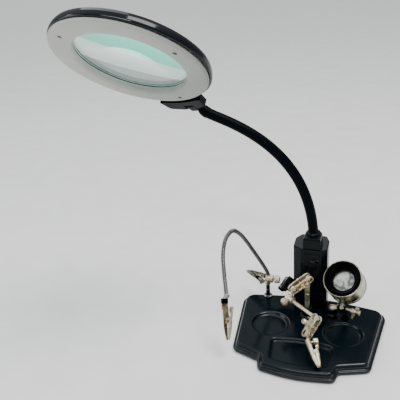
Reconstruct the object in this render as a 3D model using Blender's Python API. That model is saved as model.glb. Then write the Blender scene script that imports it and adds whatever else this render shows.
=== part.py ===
"""Helping hands with a ring magnifier lamp, two clip arms, a flexible clip arm and a loupe.

Sizes below are in millimetres and are turned into metres where the meshes are made.
+X is to the right, +Y to the back, +Z up. The origin is on the table, midway between the two dishes.
"""

import math

import bmesh
import bpy
from mathutils import Matrix, Vector

MM = 0.001
SMOOTH_ANGLE = math.radians(32.0)

# ---- Base -----------------------------------------------------------------------------------
PAD_TOP = 1.0
PLATE_BOTTOM = 1.3
DECK = 9.0
OUTLINE_CORNERS = [  # right half, front to back: x, y, corner radius
    (0.0, -65.5, 110.0),
    (34.3, -60.3, 7.0),
    (36.6, -48.9, 4.0),
    (63.2, -39.6, 8.0),
    (73.6, 47.5, 13.0),
    (0.0, 59.0, 250.0),
]
RIM_STEPS = [  # inset from the outline, height
    (0.4, PLATE_BOTTOM),
    (0.0, 1.9),
    (0.0, 3.3),
    (1.5, 4.1),
    (2.5, 4.4),
    (3.3, 7.3),
    (4.4, 8.6),
    (5.8, DECK),
]
DISH_X = 35.1
DISH_RADIUS = 19.3
DISH_FLOOR_RADIUS = 16.4
DISH_FLOOR = 6.1
TRAY_CORNERS = [(0.0, -15.5, 90.0), (29.5, -21.5, 5.0), (26.5, -50.0, 6.0), (0.0, -54.0, 90.0)]
TRAY_FLOOR = 5.9
TRAY_SLOPE = 1.6
POCKET_CORNERS = [  # right half of the hollow under the base
    (0.0, -57.0, 90.0),
    (27.5, -52.5, 3.0),
    (29.5, -41.0, 3.0),
    (55.5, -31.5, 5.0),
    (64.0, 40.5, 6.0),
    (0.0, 50.0, 200.0),
]
POCKET_TOP = 4.6
PLATE_THICKNESS = 1.0
BALLAST_THICKNESS = 1.9
GAP = 0.3

# ---- Column ---------------------------------------------------------------------------------
COLUMN_Y = 43.0
COLUMN_TOP = 79.0
COLUMN_WALL = 2.0
COLUMN_CORNERS = [(9.0, -12.5), (15.0, -9.0), (15.0, 5.0), (11.5, 12.0)]  # right half, about COLUMN_Y
WINDOW_HALF = 8.0
WINDOW_BOTTOM = 14.0
WINDOW_TOP = 66.0
CELL_RADIUS = 5.2
CELL_LENGTH = 44.5
CELL_BOTTOM = 15.0
CELL_PLACES = [(-5.5, 4.4), (5.5, 4.4), (0.0, -4.7)]
SWITCH_X = 2.5
SWITCH_Z = 66.5
SWITCH_TRAVEL = 3.0
KNOB_AT = (-24.6, 41.0, 27.2)
KNOB_AXIS = (-0.79, 0.0, 0.613)

# ---- Gooseneck: a cubic curve in an upright plane, (distance out from the column, height) ------
NECK_PLANE = (-0.9929, -0.1189)
NECK_CURVE = [(0.0, 79.0), (-0.9, 186.7), (89.1, 205.9), (99.0, 214.0)]
NECK_RADIUS = 4.3
NECK_FOOT = 91.0
NECK_SEGMENTS = 4
JOINT_GAP = 1.0
JOINT_TAPER = 3.2
JOINT_TIP_RADIUS = 1.1

# ---- Lamp head --------------------------------------------------------------------------------
HEAD_CENTRE = (-139.3, -29.1, 270.4)
HEAD_UP = (0.081, 0.642, 0.763)
HEAD_TO_NECK = (0.356, 0.695, -0.623)
HEAD_RADIUS = 68.4
HEAD_OPENING = 45.5
SHELL_HEIGHT = 10.5
SHELL_WALL = 1.8
LENS_RADIUS = 47.6
LENS_EDGE = 1.6
LENS_BULGE = 3.6
TILT_PIN_OUT = 80.5
TILT_PIN_UP = 1.0
LUG_CORNERS = [(56.0, -21.0, 0.0), (79.0, -19.0, 3.0), (83.0, -9.0, 1.0), (83.0, 10.0, 1.0), (79.5, 24.0, 3.0),
               (56.0, 25.0, 0.0)]
PIN_REACH = 14.5
TONGUE_HALF = 4.8
TONGUE_Y = -1.0
FERRULE_RADIUS = 4.9
FERRULE_LENGTH = 5.0
FERRULE_START = 0.9
HEAD_SCREW_ANGLES = [157.0, 262.0, 354.0]
HEAD_SCREW_CIRCLE = 58.5
HEAD_SIDES = 48

# ---- Left post, clip and flexible arm ---------------------------------------------------------
LEFT_POST = (-47.3, 45.0)
LEFT_BLOCK = (-44.0, 45.0, 31.0)
HOSE_RADIUS = 2.1
HOSE_ROUTE = [
    (-46.8, 45.0, 35.7),
    (-48.2, 44.0, 41.0),
    (-52.6, 41.0, 52.0),
    (-58.5, 36.0, 66.5),
    (-64.2, 30.0, 81.3),
    (-69.0, 23.5, 93.0),
    (-73.4, 14.0, 101.0),
    (-77.2, 3.0, 97.5),
    (-77.2, -8.0, 86.0),
    (-73.8, -18.0, 71.5),
    (-69.2, -29.0, 55.2),
]
HOSE_SEGMENTS = 3

# ---- Front arm: ball centres ------------------------------------------------------------------
FRONT_POST = (-2.0, 20.0)
BALL_A = (-1.3, 20.0, 53.6)
BALL_B = (-14.0, 10.0, 45.6)
ROD_BLOCK = (-16.8, 9.0, 34.1)
BALL_C = (11.5, -12.0, 31.2)
BALL_D = (4.8, -22.0, 19.8)
UPPER_NORMAL = (0.618, -0.786, 0.0)
LOWER_NORMAL = (-0.556, -0.436, 0.709)
BALL_RADIUS = 3.0
ROD_RADIUS = 1.9
PLATE_GAP = 2.5
CLAMP_PLATE_THICKNESS = 1.1
CLAMP_PLATE_HALF_WIDTH = 3.9

# ---- Alligator clips ---------------------------------------------------------------------------
CLIP_1_TIP = (20.8, -56.5, 14.2)
CLIP_2_ROOT = (-48.6, 46.0, 30.5)
CLIP_2_TIP = (-75.0, 65.0, 23.4)
CLIP_3_ROOT = (-68.9, -29.9, 53.8)
CLIP_3_TIP = (-63.2, -50.0, 21.8)

# ---- Loupe -------------------------------------------------------------------------------------
LOUPE_FRONT = (31.7, 20.0, 56.1)
LOUPE_AXIS = (0.197, 0.622, -0.759)
LOUPE_LENGTH = 24.0
LOUPE_RADIUS = 18.6
LOUPE_PIVOT = (31.8, 18.4, 25.4)
LOUPE_POST = (34.3, 24.5)
DOME_PLACE = (21.8, 30.5)
DOME_BOSS_TOP = 15.6


# ---- Small geometry helpers --------------------------------------------------------------------
def clear_scene():
    for item in list(bpy.data.objects):
        bpy.data.objects.remove(item, do_unlink=True)


def vec(point):
    return Vector(point)


def frame_at(origin, z_axis, x_hint=(1.0, 0.0, 0.0)):
    """A placement whose +Z is z_axis and whose +X leans towards x_hint."""
    z = vec(z_axis).normalized()
    x = vec(x_hint) - z * vec(x_hint).dot(z)
    if x.length < 0.01:
        x = Vector((0.0, 1.0, 0.0)) - z * z.y
    x.normalize()
    y = z.cross(x)
    turn = Matrix((x, y, z)).transposed().to_4x4()
    return Matrix.Translation(vec(origin)) @ turn


def circle(radius, height, sides, phase=0.0):
    steps = (phase + math.tau * i / sides for i in range(sides))
    return [Vector((radius * math.cos(a), radius * math.sin(a), height)) for a in steps]


def fillet(before, corner, after, radius, steps):
    """Points of the arc that rounds a corner of a polygon."""
    to_before = (before - corner).normalized()
    to_after = (after - corner).normalized()
    half = to_before.angle(to_after) / 2.0
    reach = radius / math.tan(half)
    centre = corner + (to_before + to_after).normalized() * (radius / math.sin(half))
    start = corner + to_before * reach - centre
    end = corner + to_after * reach - centre
    sweep = start.angle_signed(end)
    arc = []
    for i in range(steps + 1):
        turn = Matrix.Rotation(-sweep * i / steps, 2)
        arc.append(centre + turn @ start)
    return arc


def rounded(corners, steps=5):
    """A closed outline from (x, y, radius) corners, anticlockwise."""
    outline = []
    count = len(corners)
    for i, (x, y, radius) in enumerate(corners):
        before = Vector(corners[i - 1][:2])
        after = Vector(corners[(i + 1) % count][:2])
        corner = Vector((x, y))
        if radius > 0.0:
            outline.extend(fillet(before, corner, after, radius, steps))
        else:
            outline.append(corner)
    return outline


def mirrored(corners):
    """The whole outline from its right half, front middle to back middle."""
    left = [(-c[0], *c[1:]) for c in reversed(corners) if c[0] > 0.0]
    return list(corners) + left


def inset(outline, distance):
    """The outline moved inwards by distance."""
    result = []
    count = len(outline)
    for i, point in enumerate(outline):
        along_in = (point - outline[i - 1]).normalized()
        along_out = (outline[(i + 1) % count] - point).normalized()
        normal = Vector((-(along_in.y + along_out.y), along_in.x + along_out.x)).normalized()
        spread = max(0.5, normal.dot(Vector((-along_out.y, along_out.x))))
        result.append(point + normal * (distance / spread))
    return result


def level(outline, height):
    return [Vector((p.x, p.y, height)) for p in outline]


# ---- Mesh builders -----------------------------------------------------------------------------
def loft(rings, closed=False):
    """A solid skin over rings of equal length; flat ends unless the rings close on themselves."""
    bm = bmesh.new()
    loops = [[bm.verts.new(p) for p in ring] for ring in rings]
    pairs = list(zip(loops, loops[1:]))
    if closed:
        pairs.append((loops[-1], loops[0]))
    for low, high in pairs:
        for i in range(len(low)):
            j = (i + 1) % len(low)
            bm.faces.new((low[i], low[j], high[j], high[i]))
    if not closed:
        bm.faces.new(list(reversed(loops[0])))
        bm.faces.new(loops[-1])
    bmesh.ops.recalc_face_normals(bm, faces=bm.faces)
    return bm


def turned(profile, sides, closed=False):
    """A turned piece from (radius, height) points, bottom to top."""
    return loft([circle(radius, height, sides) for radius, height in profile], closed)


def slab(outline, bottom, top):
    return loft([level(outline, bottom), level(outline, top)])


def box(low, high):
    outline = [Vector(p) for p in ((low[0], low[1]), (high[0], low[1]), (high[0], high[1]), (low[0], high[1]))]
    return slab(outline, low[2], high[2])


def ball(radius, sides, rings=7):
    profile = []
    for i in range(rings):
        angle = -math.pi / 2.0 + math.pi * (i + 0.5) / rings
        profile.append((radius * math.cos(angle), radius * math.sin(angle)))
    profile[0] = (profile[0][0], -radius * 0.985)
    profile[-1] = (profile[-1][0], radius * 0.985)
    return turned(profile, sides)


def swept(points, radii, sides):
    """A round bar along points, with a radius at each."""
    rings = []
    side = None
    for i, point in enumerate(points):
        ahead = points[min(i + 1, len(points) - 1)]
        behind = points[max(i - 1, 0)]
        along = (ahead - behind).normalized()
        if side is None:
            side = along.orthogonal().normalized()
        side = (side - along * side.dot(along)).normalized()
        across = along.cross(side)
        ring = []
        for k in range(sides):
            angle = math.tau * k / sides
            ring.append(point + (side * math.cos(angle) + across * math.sin(angle)) * radii[i])
        rings.append(ring)
    return loft(rings)


def moved(bm, placement):
    bm.transform(placement)
    return bm


def finish(name, bm, material, origin=(0.0, 0.0, 0.0)):
    """Makes the named object in metres, with its origin on its joint."""
    start = vec(origin)
    for vertex in bm.verts:
        vertex.co = (vertex.co - start) * MM
    mesh = bpy.data.meshes.new(name)
    bm.to_mesh(mesh)
    bm.free()
    piece = bpy.data.objects.new(name, mesh)
    piece.location = start * MM
    bpy.context.collection.objects.link(piece)
    if material is not None:
        mesh.materials.append(material)
    mesh.shade_smooth()
    mesh.set_sharp_from_angle(angle=SMOOTH_ANGLE)
    bpy.context.view_layer.update()
    return piece


def combine(piece, tool_mesh, operation):
    """Adds or cuts tool_mesh, a bmesh in the drawing's millimetres."""
    tool = finish("tool", tool_mesh, None)
    step = piece.modifiers.new(operation.title(), "BOOLEAN")
    step.operation = operation
    step.solver = "EXACT"
    step.object = tool
    bpy.context.view_layer.update()
    depsgraph = bpy.context.evaluated_depsgraph_get()
    result = bpy.data.meshes.new_from_object(piece.evaluated_get(depsgraph))
    old = piece.data
    piece.modifiers.clear()
    piece.data = result
    result.name = piece.name
    bpy.data.meshes.remove(old)
    bpy.data.objects.remove(tool, do_unlink=True)
    result.shade_smooth()
    result.set_sharp_from_angle(angle=SMOOTH_ANGLE)
    return piece


def join_object(piece, other):
    """Adds a finished object to piece and removes it."""
    bm = bmesh.new()
    bm.from_mesh(other.data)
    bm.transform(Matrix.Scale(1.0 / MM, 4) @ other.matrix_world)
    bpy.data.objects.remove(other, do_unlink=True)
    return combine(piece, bm, "UNION")


def join(piece, *tools):
    for tool in tools:
        combine(piece, tool, "UNION")
    return piece


def cut(piece, *tools):
    for tool in tools:
        combine(piece, tool, "DIFFERENCE")
    return piece


def finish_material(name, colour, roughness, metallic=0.0, alpha=1.0):
    material = bpy.data.materials.new(name)
    material.use_nodes = True
    shader = material.node_tree.nodes["Principled BSDF"]
    shader.inputs["Base Color"].default_value = (*colour, 1.0)
    shader.inputs["Roughness"].default_value = roughness
    shader.inputs["Metallic"].default_value = metallic
    shader.inputs["Alpha"].default_value = alpha
    return material


def make_materials():
    return {
        "black": finish_material("black_plastic", (0.012, 0.014, 0.016), 0.38),
        "neck": finish_material("neck_sleeve", (0.010, 0.011, 0.012), 0.45),
        "nickel": finish_material("nickel", (0.62, 0.56, 0.46), 0.28, 1.0),
        "brass": finish_material("brass", (0.70, 0.47, 0.25), 0.30, 1.0),
        "dark_chrome": finish_material("dark_chrome", (0.20, 0.20, 0.21), 0.2, 1.0),
        "hose": finish_material("hose_metal", (0.42, 0.42, 0.41), 0.35, 1.0),
        "steel": finish_material("steel", (0.45, 0.45, 0.46), 0.4, 1.0),
        "frost": finish_material("frosted_plastic", (0.78, 0.79, 0.77), 0.5),
        "board": finish_material("circuit_board", (0.80, 0.80, 0.78), 0.5),
        "glass": finish_material("glass", (0.80, 0.95, 0.90), 0.03, 0.0, 0.35),
        "foam": finish_material("foam", (0.03, 0.03, 0.03), 0.9),
        "cell": finish_material("cell_jacket", (0.10, 0.22, 0.12), 0.35),
    }


# ---- Base --------------------------------------------------------------------------------------
def dish_cutter(x):
    return moved(
        turned([(DISH_FLOOR_RADIUS, DISH_FLOOR), (DISH_RADIUS, DECK), (DISH_RADIUS, DECK + 4.0)], 40),
        Matrix.Translation((x, 0.0, 0.0)),
    )


def tray_cutter():
    corners = [(c[0], c[1], c[2]) for c in TRAY_CORNERS]
    outline = list(reversed(rounded(mirrored(corners), 4)))
    floor = inset(outline, TRAY_SLOPE)
    return loft([level(floor, TRAY_FLOOR), level(outline, DECK), level(outline, DECK + 4.0)])


def make_base(mats):
    outline = rounded(mirrored(OUTLINE_CORNERS))
    rings = [level(inset(outline, distance), height) for distance, height in RIM_STEPS]
    shell = finish("base_shell", loft(rings), mats["black"])
    pocket = rounded(mirrored(POCKET_CORNERS))
    join(shell, moved(turned([(5.0, DECK - 1.5), (5.0, DOME_BOSS_TOP - 0.8), (4.3, DOME_BOSS_TOP)], 20),
                      Matrix.Translation((*DOME_PLACE, 0.0))))
    cut(shell, dish_cutter(-DISH_X), dish_cutter(DISH_X), tray_cutter(), slab(pocket, -2.0, POCKET_TOP))
    cover = slab(inset(pocket, GAP), PLATE_BOTTOM, PLATE_BOTTOM + PLATE_THICKNESS)
    finish("base_plate", cover, mats["black"])
    ballast_bottom = PLATE_BOTTOM + PLATE_THICKNESS + GAP
    ballast = slab(inset(pocket, 1.0), ballast_bottom, ballast_bottom + BALLAST_THICKNESS - GAP)
    finish("weight_plate", ballast, mats["steel"])
    finish("foot_pad", slab(inset(outline, 4.0), 0.0, PAD_TOP), mats["foam"])
    dome = turned([(4.2, GAP), (4.2, 0.9), (3.4, 1.8), (2.0, 2.4), (0.5, 2.6)], 20)
    finish("dome_screw", moved(dome, Matrix.Translation((*DOME_PLACE, DOME_BOSS_TOP))), mats["nickel"])


# ---- Column ------------------------------------------------------------------------------------
def column_outline(shrink=0.0):
    right = [Vector((x, y + COLUMN_Y)) for x, y in COLUMN_CORNERS]
    left = [Vector((-p.x, p.y)) for p in reversed(right)]
    return inset(right + left, shrink) if shrink else right + left


def make_column(mats):
    outline = column_outline()
    rings = [
        level(outline, DECK + GAP),
        level(outline, COLUMN_TOP - 1.0),
        level(inset(outline, 1.0), COLUMN_TOP),
    ]
    column = finish("column_housing", loft(rings), mats["black"])
    back = COLUMN_Y + COLUMN_CORNERS[-1][1]
    cut(
        column,
        slab(column_outline(COLUMN_WALL), DECK - 2.0, COLUMN_TOP - 3.0),
        box((-WINDOW_HALF, back - 6.0, WINDOW_BOTTOM), (WINDOW_HALF, back + 6.0, WINDOW_TOP)),
        box((SWITCH_X - 5.0, 20.0, SWITCH_Z - 1.6), (SWITCH_X + 5.0, COLUMN_Y - 8.0, SWITCH_Z + 1.6)),
    )
    cover = box(
        (-WINDOW_HALF + GAP, back - COLUMN_WALL + GAP, WINDOW_BOTTOM + GAP),
        (WINDOW_HALF - GAP, back, WINDOW_TOP - GAP),
    )
    finish("battery_cover", cover, mats["black"], (0.0, back, WINDOW_BOTTOM))
    for i, (x, y) in enumerate(CELL_PLACES):
        profile = [
            (CELL_RADIUS - 0.4, 0.0),
            (CELL_RADIUS, 0.4),
            (CELL_RADIUS, CELL_LENGTH - 1.6),
            (CELL_RADIUS - 0.6, CELL_LENGTH - 1.0),
            (1.9, CELL_LENGTH - 0.9),
            (1.9, CELL_LENGTH),
        ]
        place = Matrix.Translation((x, COLUMN_Y + y, CELL_BOTTOM))
        finish(f"battery_cell_{i + 1}", moved(turned(profile, 18), place), mats["cell"])
    inner = column_outline(COLUMN_WALL + GAP)
    finish("contact_plate_bottom", slab(inner, CELL_BOTTOM - 1.2, CELL_BOTTOM - GAP), mats["steel"])
    top = CELL_BOTTOM + CELL_LENGTH + GAP
    finish("contact_plate_top", slab(inner, top, top + 0.9), mats["steel"])
    front = COLUMN_Y + COLUMN_CORNERS[0][1]
    body = box(
        (SWITCH_X - 4.6, front + COLUMN_WALL + GAP, SWITCH_Z - 2.6),
        (SWITCH_X + 4.6, front + COLUMN_WALL + 4.0, SWITCH_Z + 2.6),
    )
    finish("switch_body", body, mats["steel"])
    slider_x = SWITCH_X - SWITCH_TRAVEL / 2.0
    slider = box((slider_x - 2.6, front - 1.6, SWITCH_Z - 1.2), (slider_x + 2.6, front + COLUMN_WALL, SWITCH_Z + 1.2))
    finish("switch_slider", slider, mats["black"], (slider_x, front, SWITCH_Z))


def make_neck_socket(mats):
    radius = 8.3
    arc = [(radius * math.cos(a), COLUMN_Y + radius * math.sin(a)) for a in
           (math.pi * i / 10.0 for i in range(11))]
    front = COLUMN_Y + COLUMN_CORNERS[0][1] + 1.2
    outline = [Vector((-radius, front)), Vector((radius, front))] + [Vector(p) for p in arc]
    foot = COLUMN_TOP + GAP
    rings = [level(outline, foot), level(outline, foot + 4.6), level(inset(outline, 0.9), foot + 5.5)]
    socket = finish("neck_socket", loft(rings), mats["black"])
    cone = turned([(7.2, foot + 3.0), (7.2, foot + 6.8), (5.4, foot + 9.6), (5.0, NECK_FOOT - 1.5),
                   (1.6, NECK_FOOT - JOINT_GAP / 2.0)], 24)
    join(socket, moved(cone, Matrix.Translation((0.0, COLUMN_Y, 0.0))))


def make_side_knob(mats):
    """A four-lobed knob on a stud that slants up and away from the column."""
    lobes = []
    for i in range(32):
        angle = math.tau * i / 32
        radius = 8.6 + 1.9 * math.cos(4.0 * angle)
        lobes.append(Vector((radius * math.cos(angle), radius * math.sin(angle))))
    place = frame_at(KNOB_AT, KNOB_AXIS, (0.0, 0.0, 1.0))
    rings = [level(inset(lobes, 1.0), 0.0), level(lobes, 1.0), level(lobes, 4.9), level(inset(lobes, 1.2), 6.0)]
    knob = finish("side_knob", moved(loft(rings), place), mats["black"], KNOB_AT)
    join(knob, moved(turned([(4.2, -4.6), (4.2, 0.5)], 16), place),
         moved(turned([(2.0, -10.0), (2.0, -4.0)], 16), place))


# ---- Gooseneck ---------------------------------------------------------------------------------
def bezier(controls, t):
    a, b, c, d = controls
    s = 1.0 - t
    return a * s ** 3 + b * 3.0 * s * s * t + c * 3.0 * s * t * t + d * t ** 3


def resample(points, count):
    """count points evenly spaced along a polyline."""
    lengths = [0.0]
    for a, b in zip(points, points[1:]):
        lengths.append(lengths[-1] + (b - a).length)
    result = []
    k = 0
    for i in range(count):
        target = lengths[-1] * i / (count - 1)
        while k < len(points) - 2 and lengths[k + 1] < target:
            k += 1
        share = (target - lengths[k]) / (lengths[k + 1] - lengths[k])
        result.append(points[k].lerp(points[k + 1], share))
    return result


def neck_path():
    """Fine points along the gooseneck from its foot to the head bracket."""
    controls = []
    for out, height in NECK_CURVE:
        controls.append(Vector((NECK_PLANE[0] * out, COLUMN_Y + NECK_PLANE[1] * out, height)))
    fine = [bezier(controls, i / 200.0) for i in range(201)]
    above = [p for p in fine if p.z > NECK_FOOT]
    return [Vector((0.0, COLUMN_Y, NECK_FOOT))] + above


def jointed_bar(name, path, segments, radius, sides, material, rings):
    """Cuts a curved bar into rigid lengths, tapered where two of them meet, one object each."""
    fine = resample(path, segments * rings + 1)
    step = (fine[1] - fine[0]).length
    joints = [fine[i * rings] for i in range(segments + 1)]
    for i in range(segments):
        part = fine[i * rings:(i + 1) * rings + 1]
        first = part[0] + (part[1] - part[0]) * (JOINT_GAP / 2.0 / step)
        last = part[-1] + (part[-2] - part[-1]) * (JOINT_GAP / 2.0 / step)
        taper = JOINT_TAPER * radius / NECK_RADIUS
        full_start = part[0] + (part[1] - part[0]) * (taper / step)
        full_end = part[-1] + (part[-2] - part[-1]) * (taper / step)
        tip = JOINT_TIP_RADIUS * radius / NECK_RADIUS
        points = [first, full_start] + part[1:-1]
        radii = [tip] + [radius] * (len(points) - 1)
        if i < segments - 1:
            points += [full_end, last]
            radii += [radius, tip]
        else:
            points.append(part[-1])
            radii.append(radius)
        finish(f"{name}_segment_{i + 1}", swept(points, radii, sides), material, joints[i])
    return joints


# ---- Lamp head ---------------------------------------------------------------------------------
def head_frame():
    return frame_at(HEAD_CENTRE, HEAD_UP, HEAD_TO_NECK)


def make_head(mats):
    place = head_frame()
    r, o = HEAD_RADIUS, HEAD_OPENING
    wall = SHELL_WALL
    pin = place @ Vector((TILT_PIN_OUT, 0.0, TILT_PIN_UP))
    shell = [
        (r - 0.8, 1.4), (r - 0.4, 4.0), (r - 1.6, 8.0), (r - 4.6, SHELL_HEIGHT), (o + 3.2, SHELL_HEIGHT),
        (o + 1.2, SHELL_HEIGHT - 1.4), (o + 1.2, 7.6), (o + 3.2, 7.6), (o + 3.2, SHELL_HEIGHT - wall - 0.6),
        (r - 5.4, SHELL_HEIGHT - wall - 0.2), (r - 1.6 - wall, 7.0), (r - 0.8 - wall, 4.0), (r - 0.8 - wall, 1.4),
    ]
    piece = finish("head_shell", moved(turned(shell, HEAD_SIDES, closed=True), place), mats["black"], pin)
    lug = finish("lug", moved(slab(rounded(LUG_CORNERS, 2), -2.2, 4.4), place), None)
    slot = box((75.5, TONGUE_Y - TONGUE_HALF - GAP, -8.0), (90.0, TONGUE_Y + TONGUE_HALF + GAP, 9.0))
    cut(
        lug,
        moved(turned([(r + 0.4, -6.0), (r + 0.4, 1.7), (r - 2.6, 1.7), (r - 2.6, 9.0)], HEAD_SIDES), place),
        moved(slot, place),
        moved(turned([(1.6, -30.0), (1.6, 30.0)], 12), frame_at(pin, place.to_3x3().col[1])),
    )
    join_object(piece, lug)
    ring = [
        (r - 3.2, -2.6), (r - 0.8, -1.4), (r, 0.0), (r, 1.1), (r - 2.9, 1.1), (r - 2.9, 0.2), (r - 4.4, 0.0),
        (o + 3.0, 0.0), (o + 3.0, 1.6), (o, 1.6), (o, -1.0), (o + 1.4, -2.4),
    ]
    diffuser = finish("diffuser_ring", moved(turned(ring, HEAD_SIDES, closed=True), place), mats["frost"], pin)
    screw_places = []
    for angle in HEAD_SCREW_ANGLES:
        a = math.radians(angle)
        screw_places.append(Vector((HEAD_SCREW_CIRCLE * math.cos(a), HEAD_SCREW_CIRCLE * math.sin(a), 0.0)))
    for i, spot in enumerate(screw_places):
        seat = place @ Matrix.Translation(spot)
        cut(diffuser, moved(turned([(2.0, -4.0), (2.0, 3.0)], 12), seat))
        screw = turned([(1.6, -2.2), (1.6, -0.4), (0.9, -0.2), (0.9, 1.9)], 12)
        finish(f"head_screw_{i + 1}", moved(screw, seat), mats["steel"], pin)
    board = [(o + 3.6, 2.4), (r - 3.4, 2.4), (r - 3.4, 3.6), (o + 3.6, 3.6)]
    finish("led_board", moved(turned(board, 36, closed=True), place), mats["board"], pin)
    lens = []
    steps = 4
    for i in range(steps):
        share = (i + 0.25) / steps
        lens.append((LENS_RADIUS * share, -LENS_BULGE * (1.0 - share * share)))
    lens.append((LENS_RADIUS, 0.0))
    top = [(radius, LENS_EDGE - height) for radius, height in reversed(lens)]
    lens_place = place @ Matrix.Translation((0.0, 0.0, 3.6))
    finish("lens", moved(turned(lens + top, 40), lens_place), mats["glass"], pin)


def make_head_bracket(mats, neck_end, neck_direction):
    """Tongue with a ferrule on the gooseneck's end, and the pin that the head tilts on."""
    place = head_frame()
    pin = place @ Vector((TILT_PIN_OUT, 0.0, TILT_PIN_UP))
    side = place.to_3x3().col[1].copy()
    low = TONGUE_Y - TONGUE_HALF
    high = TONGUE_Y + TONGUE_HALF
    to_side = place @ Matrix.Rotation(math.pi / 2.0, 4, "X")
    profile = rounded([(TILT_PIN_OUT - 3.2, -2.0, 1.6), (TILT_PIN_OUT + 8.5, -2.0, 0.0), (TILT_PIN_OUT + 8.5, 4.2, 0.0),
                       (TILT_PIN_OUT - 3.2, 4.2, 2.4)], 3)
    bracket = finish("head_bracket", moved(slab(profile, -high, -low), to_side), mats["black"], neck_end)
    ferrule = turned([(FERRULE_RADIUS - 0.6, FERRULE_START), (FERRULE_RADIUS, 1.6), (FERRULE_RADIUS, FERRULE_LENGTH),
                      (FERRULE_RADIUS - 2.0, FERRULE_LENGTH + 1.2), (FERRULE_RADIUS - 2.2, FERRULE_LENGTH + 4.5)], 16)
    join(bracket, moved(ferrule, frame_at(neck_end, neck_direction)))
    cut(bracket, moved(turned([(1.55, -15.0), (1.55, 15.0)], 12), frame_at(pin, side)))
    axle = turned([(1.2, -PIN_REACH), (1.2, PIN_REACH)], 12)
    finish("tilt_pin", moved(axle, frame_at(pin, side)), mats["steel"], pin)


# ---- Alligator clips ---------------------------------------------------------------------------
def channel_ring(x, half_width, roof, edge, wall):
    """Cross-section of a folded channel; roof is its closed side and edge its open side."""
    inner = half_width - wall
    under = roof - wall if roof > edge else roof + wall
    outer = [(-half_width, edge), (-half_width, roof), (half_width, roof), (half_width, edge)]
    inside = [(inner, edge), (inner, under), (-inner, under), (-inner, edge)]
    return [Vector((x, y, z)) for y, z in outer + inside]


JAW_STATIONS = [  # along the clip, half width, roof, edge
    (16.0, 1.2, 1.3, 0.15),
    (11.5, 1.8, 2.3, 0.7),
    (5.0, 2.8, 3.3, 0.8),
    (2.2, 3.3, 3.5, 0.4),
    (1.8, 3.3, 3.5, -1.6),
    (-2.0, 3.3, 3.7, -1.6),
    (-4.2, 3.3, 4.1, 2.4),
]
LONG_LEVER = [(-9.0, 3.4, 6.3, 5.2), (-11.5, 3.9, 8.2, 7.2)]
SHORT_LEVER = [(-5.8, 3.4, 4.9, 3.7), (-7.2, 3.8, 6.2, 5.2)]
BODY_STATIONS = [
    (16.0, 1.2, -1.3, -0.15),
    (11.5, 1.8, -2.3, -0.7),
    (6.0, 2.3, -3.0, -0.6),
    (2.4, 2.4, -3.2, -0.2),
    (2.0, 2.4, -3.2, 1.4),
    (-2.2, 2.4, -3.3, 1.4),
    (-4.0, 2.4, -3.4, -0.6),
    (-11.0, 2.4, -3.6, -0.8),
]
SHEET = 0.6
BARREL_DROP = -1.9


def clip_frame(root, tip, up, jaw_length):
    """Local +X runs along the clip to its tip and +Z to the lever side; origin on the pivot."""
    along = (vec(tip) - vec(root)).normalized()
    pivot = vec(tip) - along * jaw_length
    z = vec(up) - along * vec(up).dot(along)
    z.normalize()
    y = z.cross(along)
    turn = Matrix((along, y, z)).transposed().to_4x4()
    return Matrix.Translation(pivot) @ turn


def make_clip(number, root, tip, up, scale, tail, lever, material):
    """A fixed jaw with its barrel and pivot pin, and a moving jaw with its lever; returns its place and body."""
    place = clip_frame(root, tip, up, 16.0 * scale) @ Matrix.Scale(scale, 4)
    pivot = place.to_translation()
    body_rings = [channel_ring(*station, SHEET) for station in BODY_STATIONS]
    body = finish(f"clip_{number}_body", moved(loft(body_rings), place), material, pivot)
    barrel_place = place @ Matrix.Translation((0.0, 0.0, BARREL_DROP)) @ Matrix.Rotation(-math.pi / 2.0, 4, "Y")
    barrel = turned([(2.2, 9.2), (2.7, 10.0), (2.7, tail - 0.6), (2.3, tail)], 14)
    pin = turned([(0.8, -4.0), (0.8, 4.0)], 10)
    pin_place = place @ Matrix.Rotation(math.pi / 2.0, 4, "X")
    join(body, moved(barrel, barrel_place), moved(pin, pin_place))
    jaw_rings = [channel_ring(*station, SHEET) for station in JAW_STATIONS + lever]
    jaw = finish(f"clip_{number}_jaw", moved(loft(jaw_rings), place), material, pivot)
    cut(jaw, moved(turned([(1.15, -6.0), (1.15, 6.0)], 10), pin_place))
    return place, body


# ---- Left post and flexible arm ----------------------------------------------------------------
def make_left_post(mats):
    x, y = LEFT_POST
    post = [(4.6, DECK + GAP), (4.6, DECK + 1.4), (2.5, DECK + 1.6), (2.3, DECK + 4.0), (2.3, 24.6), (1.4, 25.0),
            (1.4, 27.4)]
    finish("left_post", moved(turned(post, 16), Matrix.Translation((x, y, 0.0))), mats["dark_chrome"])
    centre = LEFT_BLOCK
    across = frame_at(centre, (1.0, 0.0, 0.0), (0.0, 0.0, 1.0))
    drum = turned([(3.6, -3.4), (4.3, -2.6), (4.3, 2.2), (3.6, 3.0)], 18)
    block = finish("left_block", moved(drum, across), mats["nickel"], (x, y, 25.0))
    collar = moved(turned([(3.4, 25.3), (3.4, 29.0)], 16), Matrix.Translation((x, y, 0.0)))
    ferrule = moved(turned([(2.7, 0.0), (2.7, 5.3)], 14), Matrix.Translation((-46.8, y, 31.5 - 1.6)))
    join(block, collar, ferrule)
    cut(block, moved(turned([(1.75, 24.0), (1.75, 27.8)], 16), Matrix.Translation((x, y, 0.0))))
    screw = [(1.3, 3.3), (2.4, 3.3), (2.4, 4.2), (4.2, 4.4), (4.2, 6.0), (2.8, 6.3), (2.8, 7.4), (4.2, 7.7),
             (4.2, 9.2), (3.0, 10.2)]
    finish("left_thumb_screw", moved(turned(screw, 18), across), mats["nickel"], centre)


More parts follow.
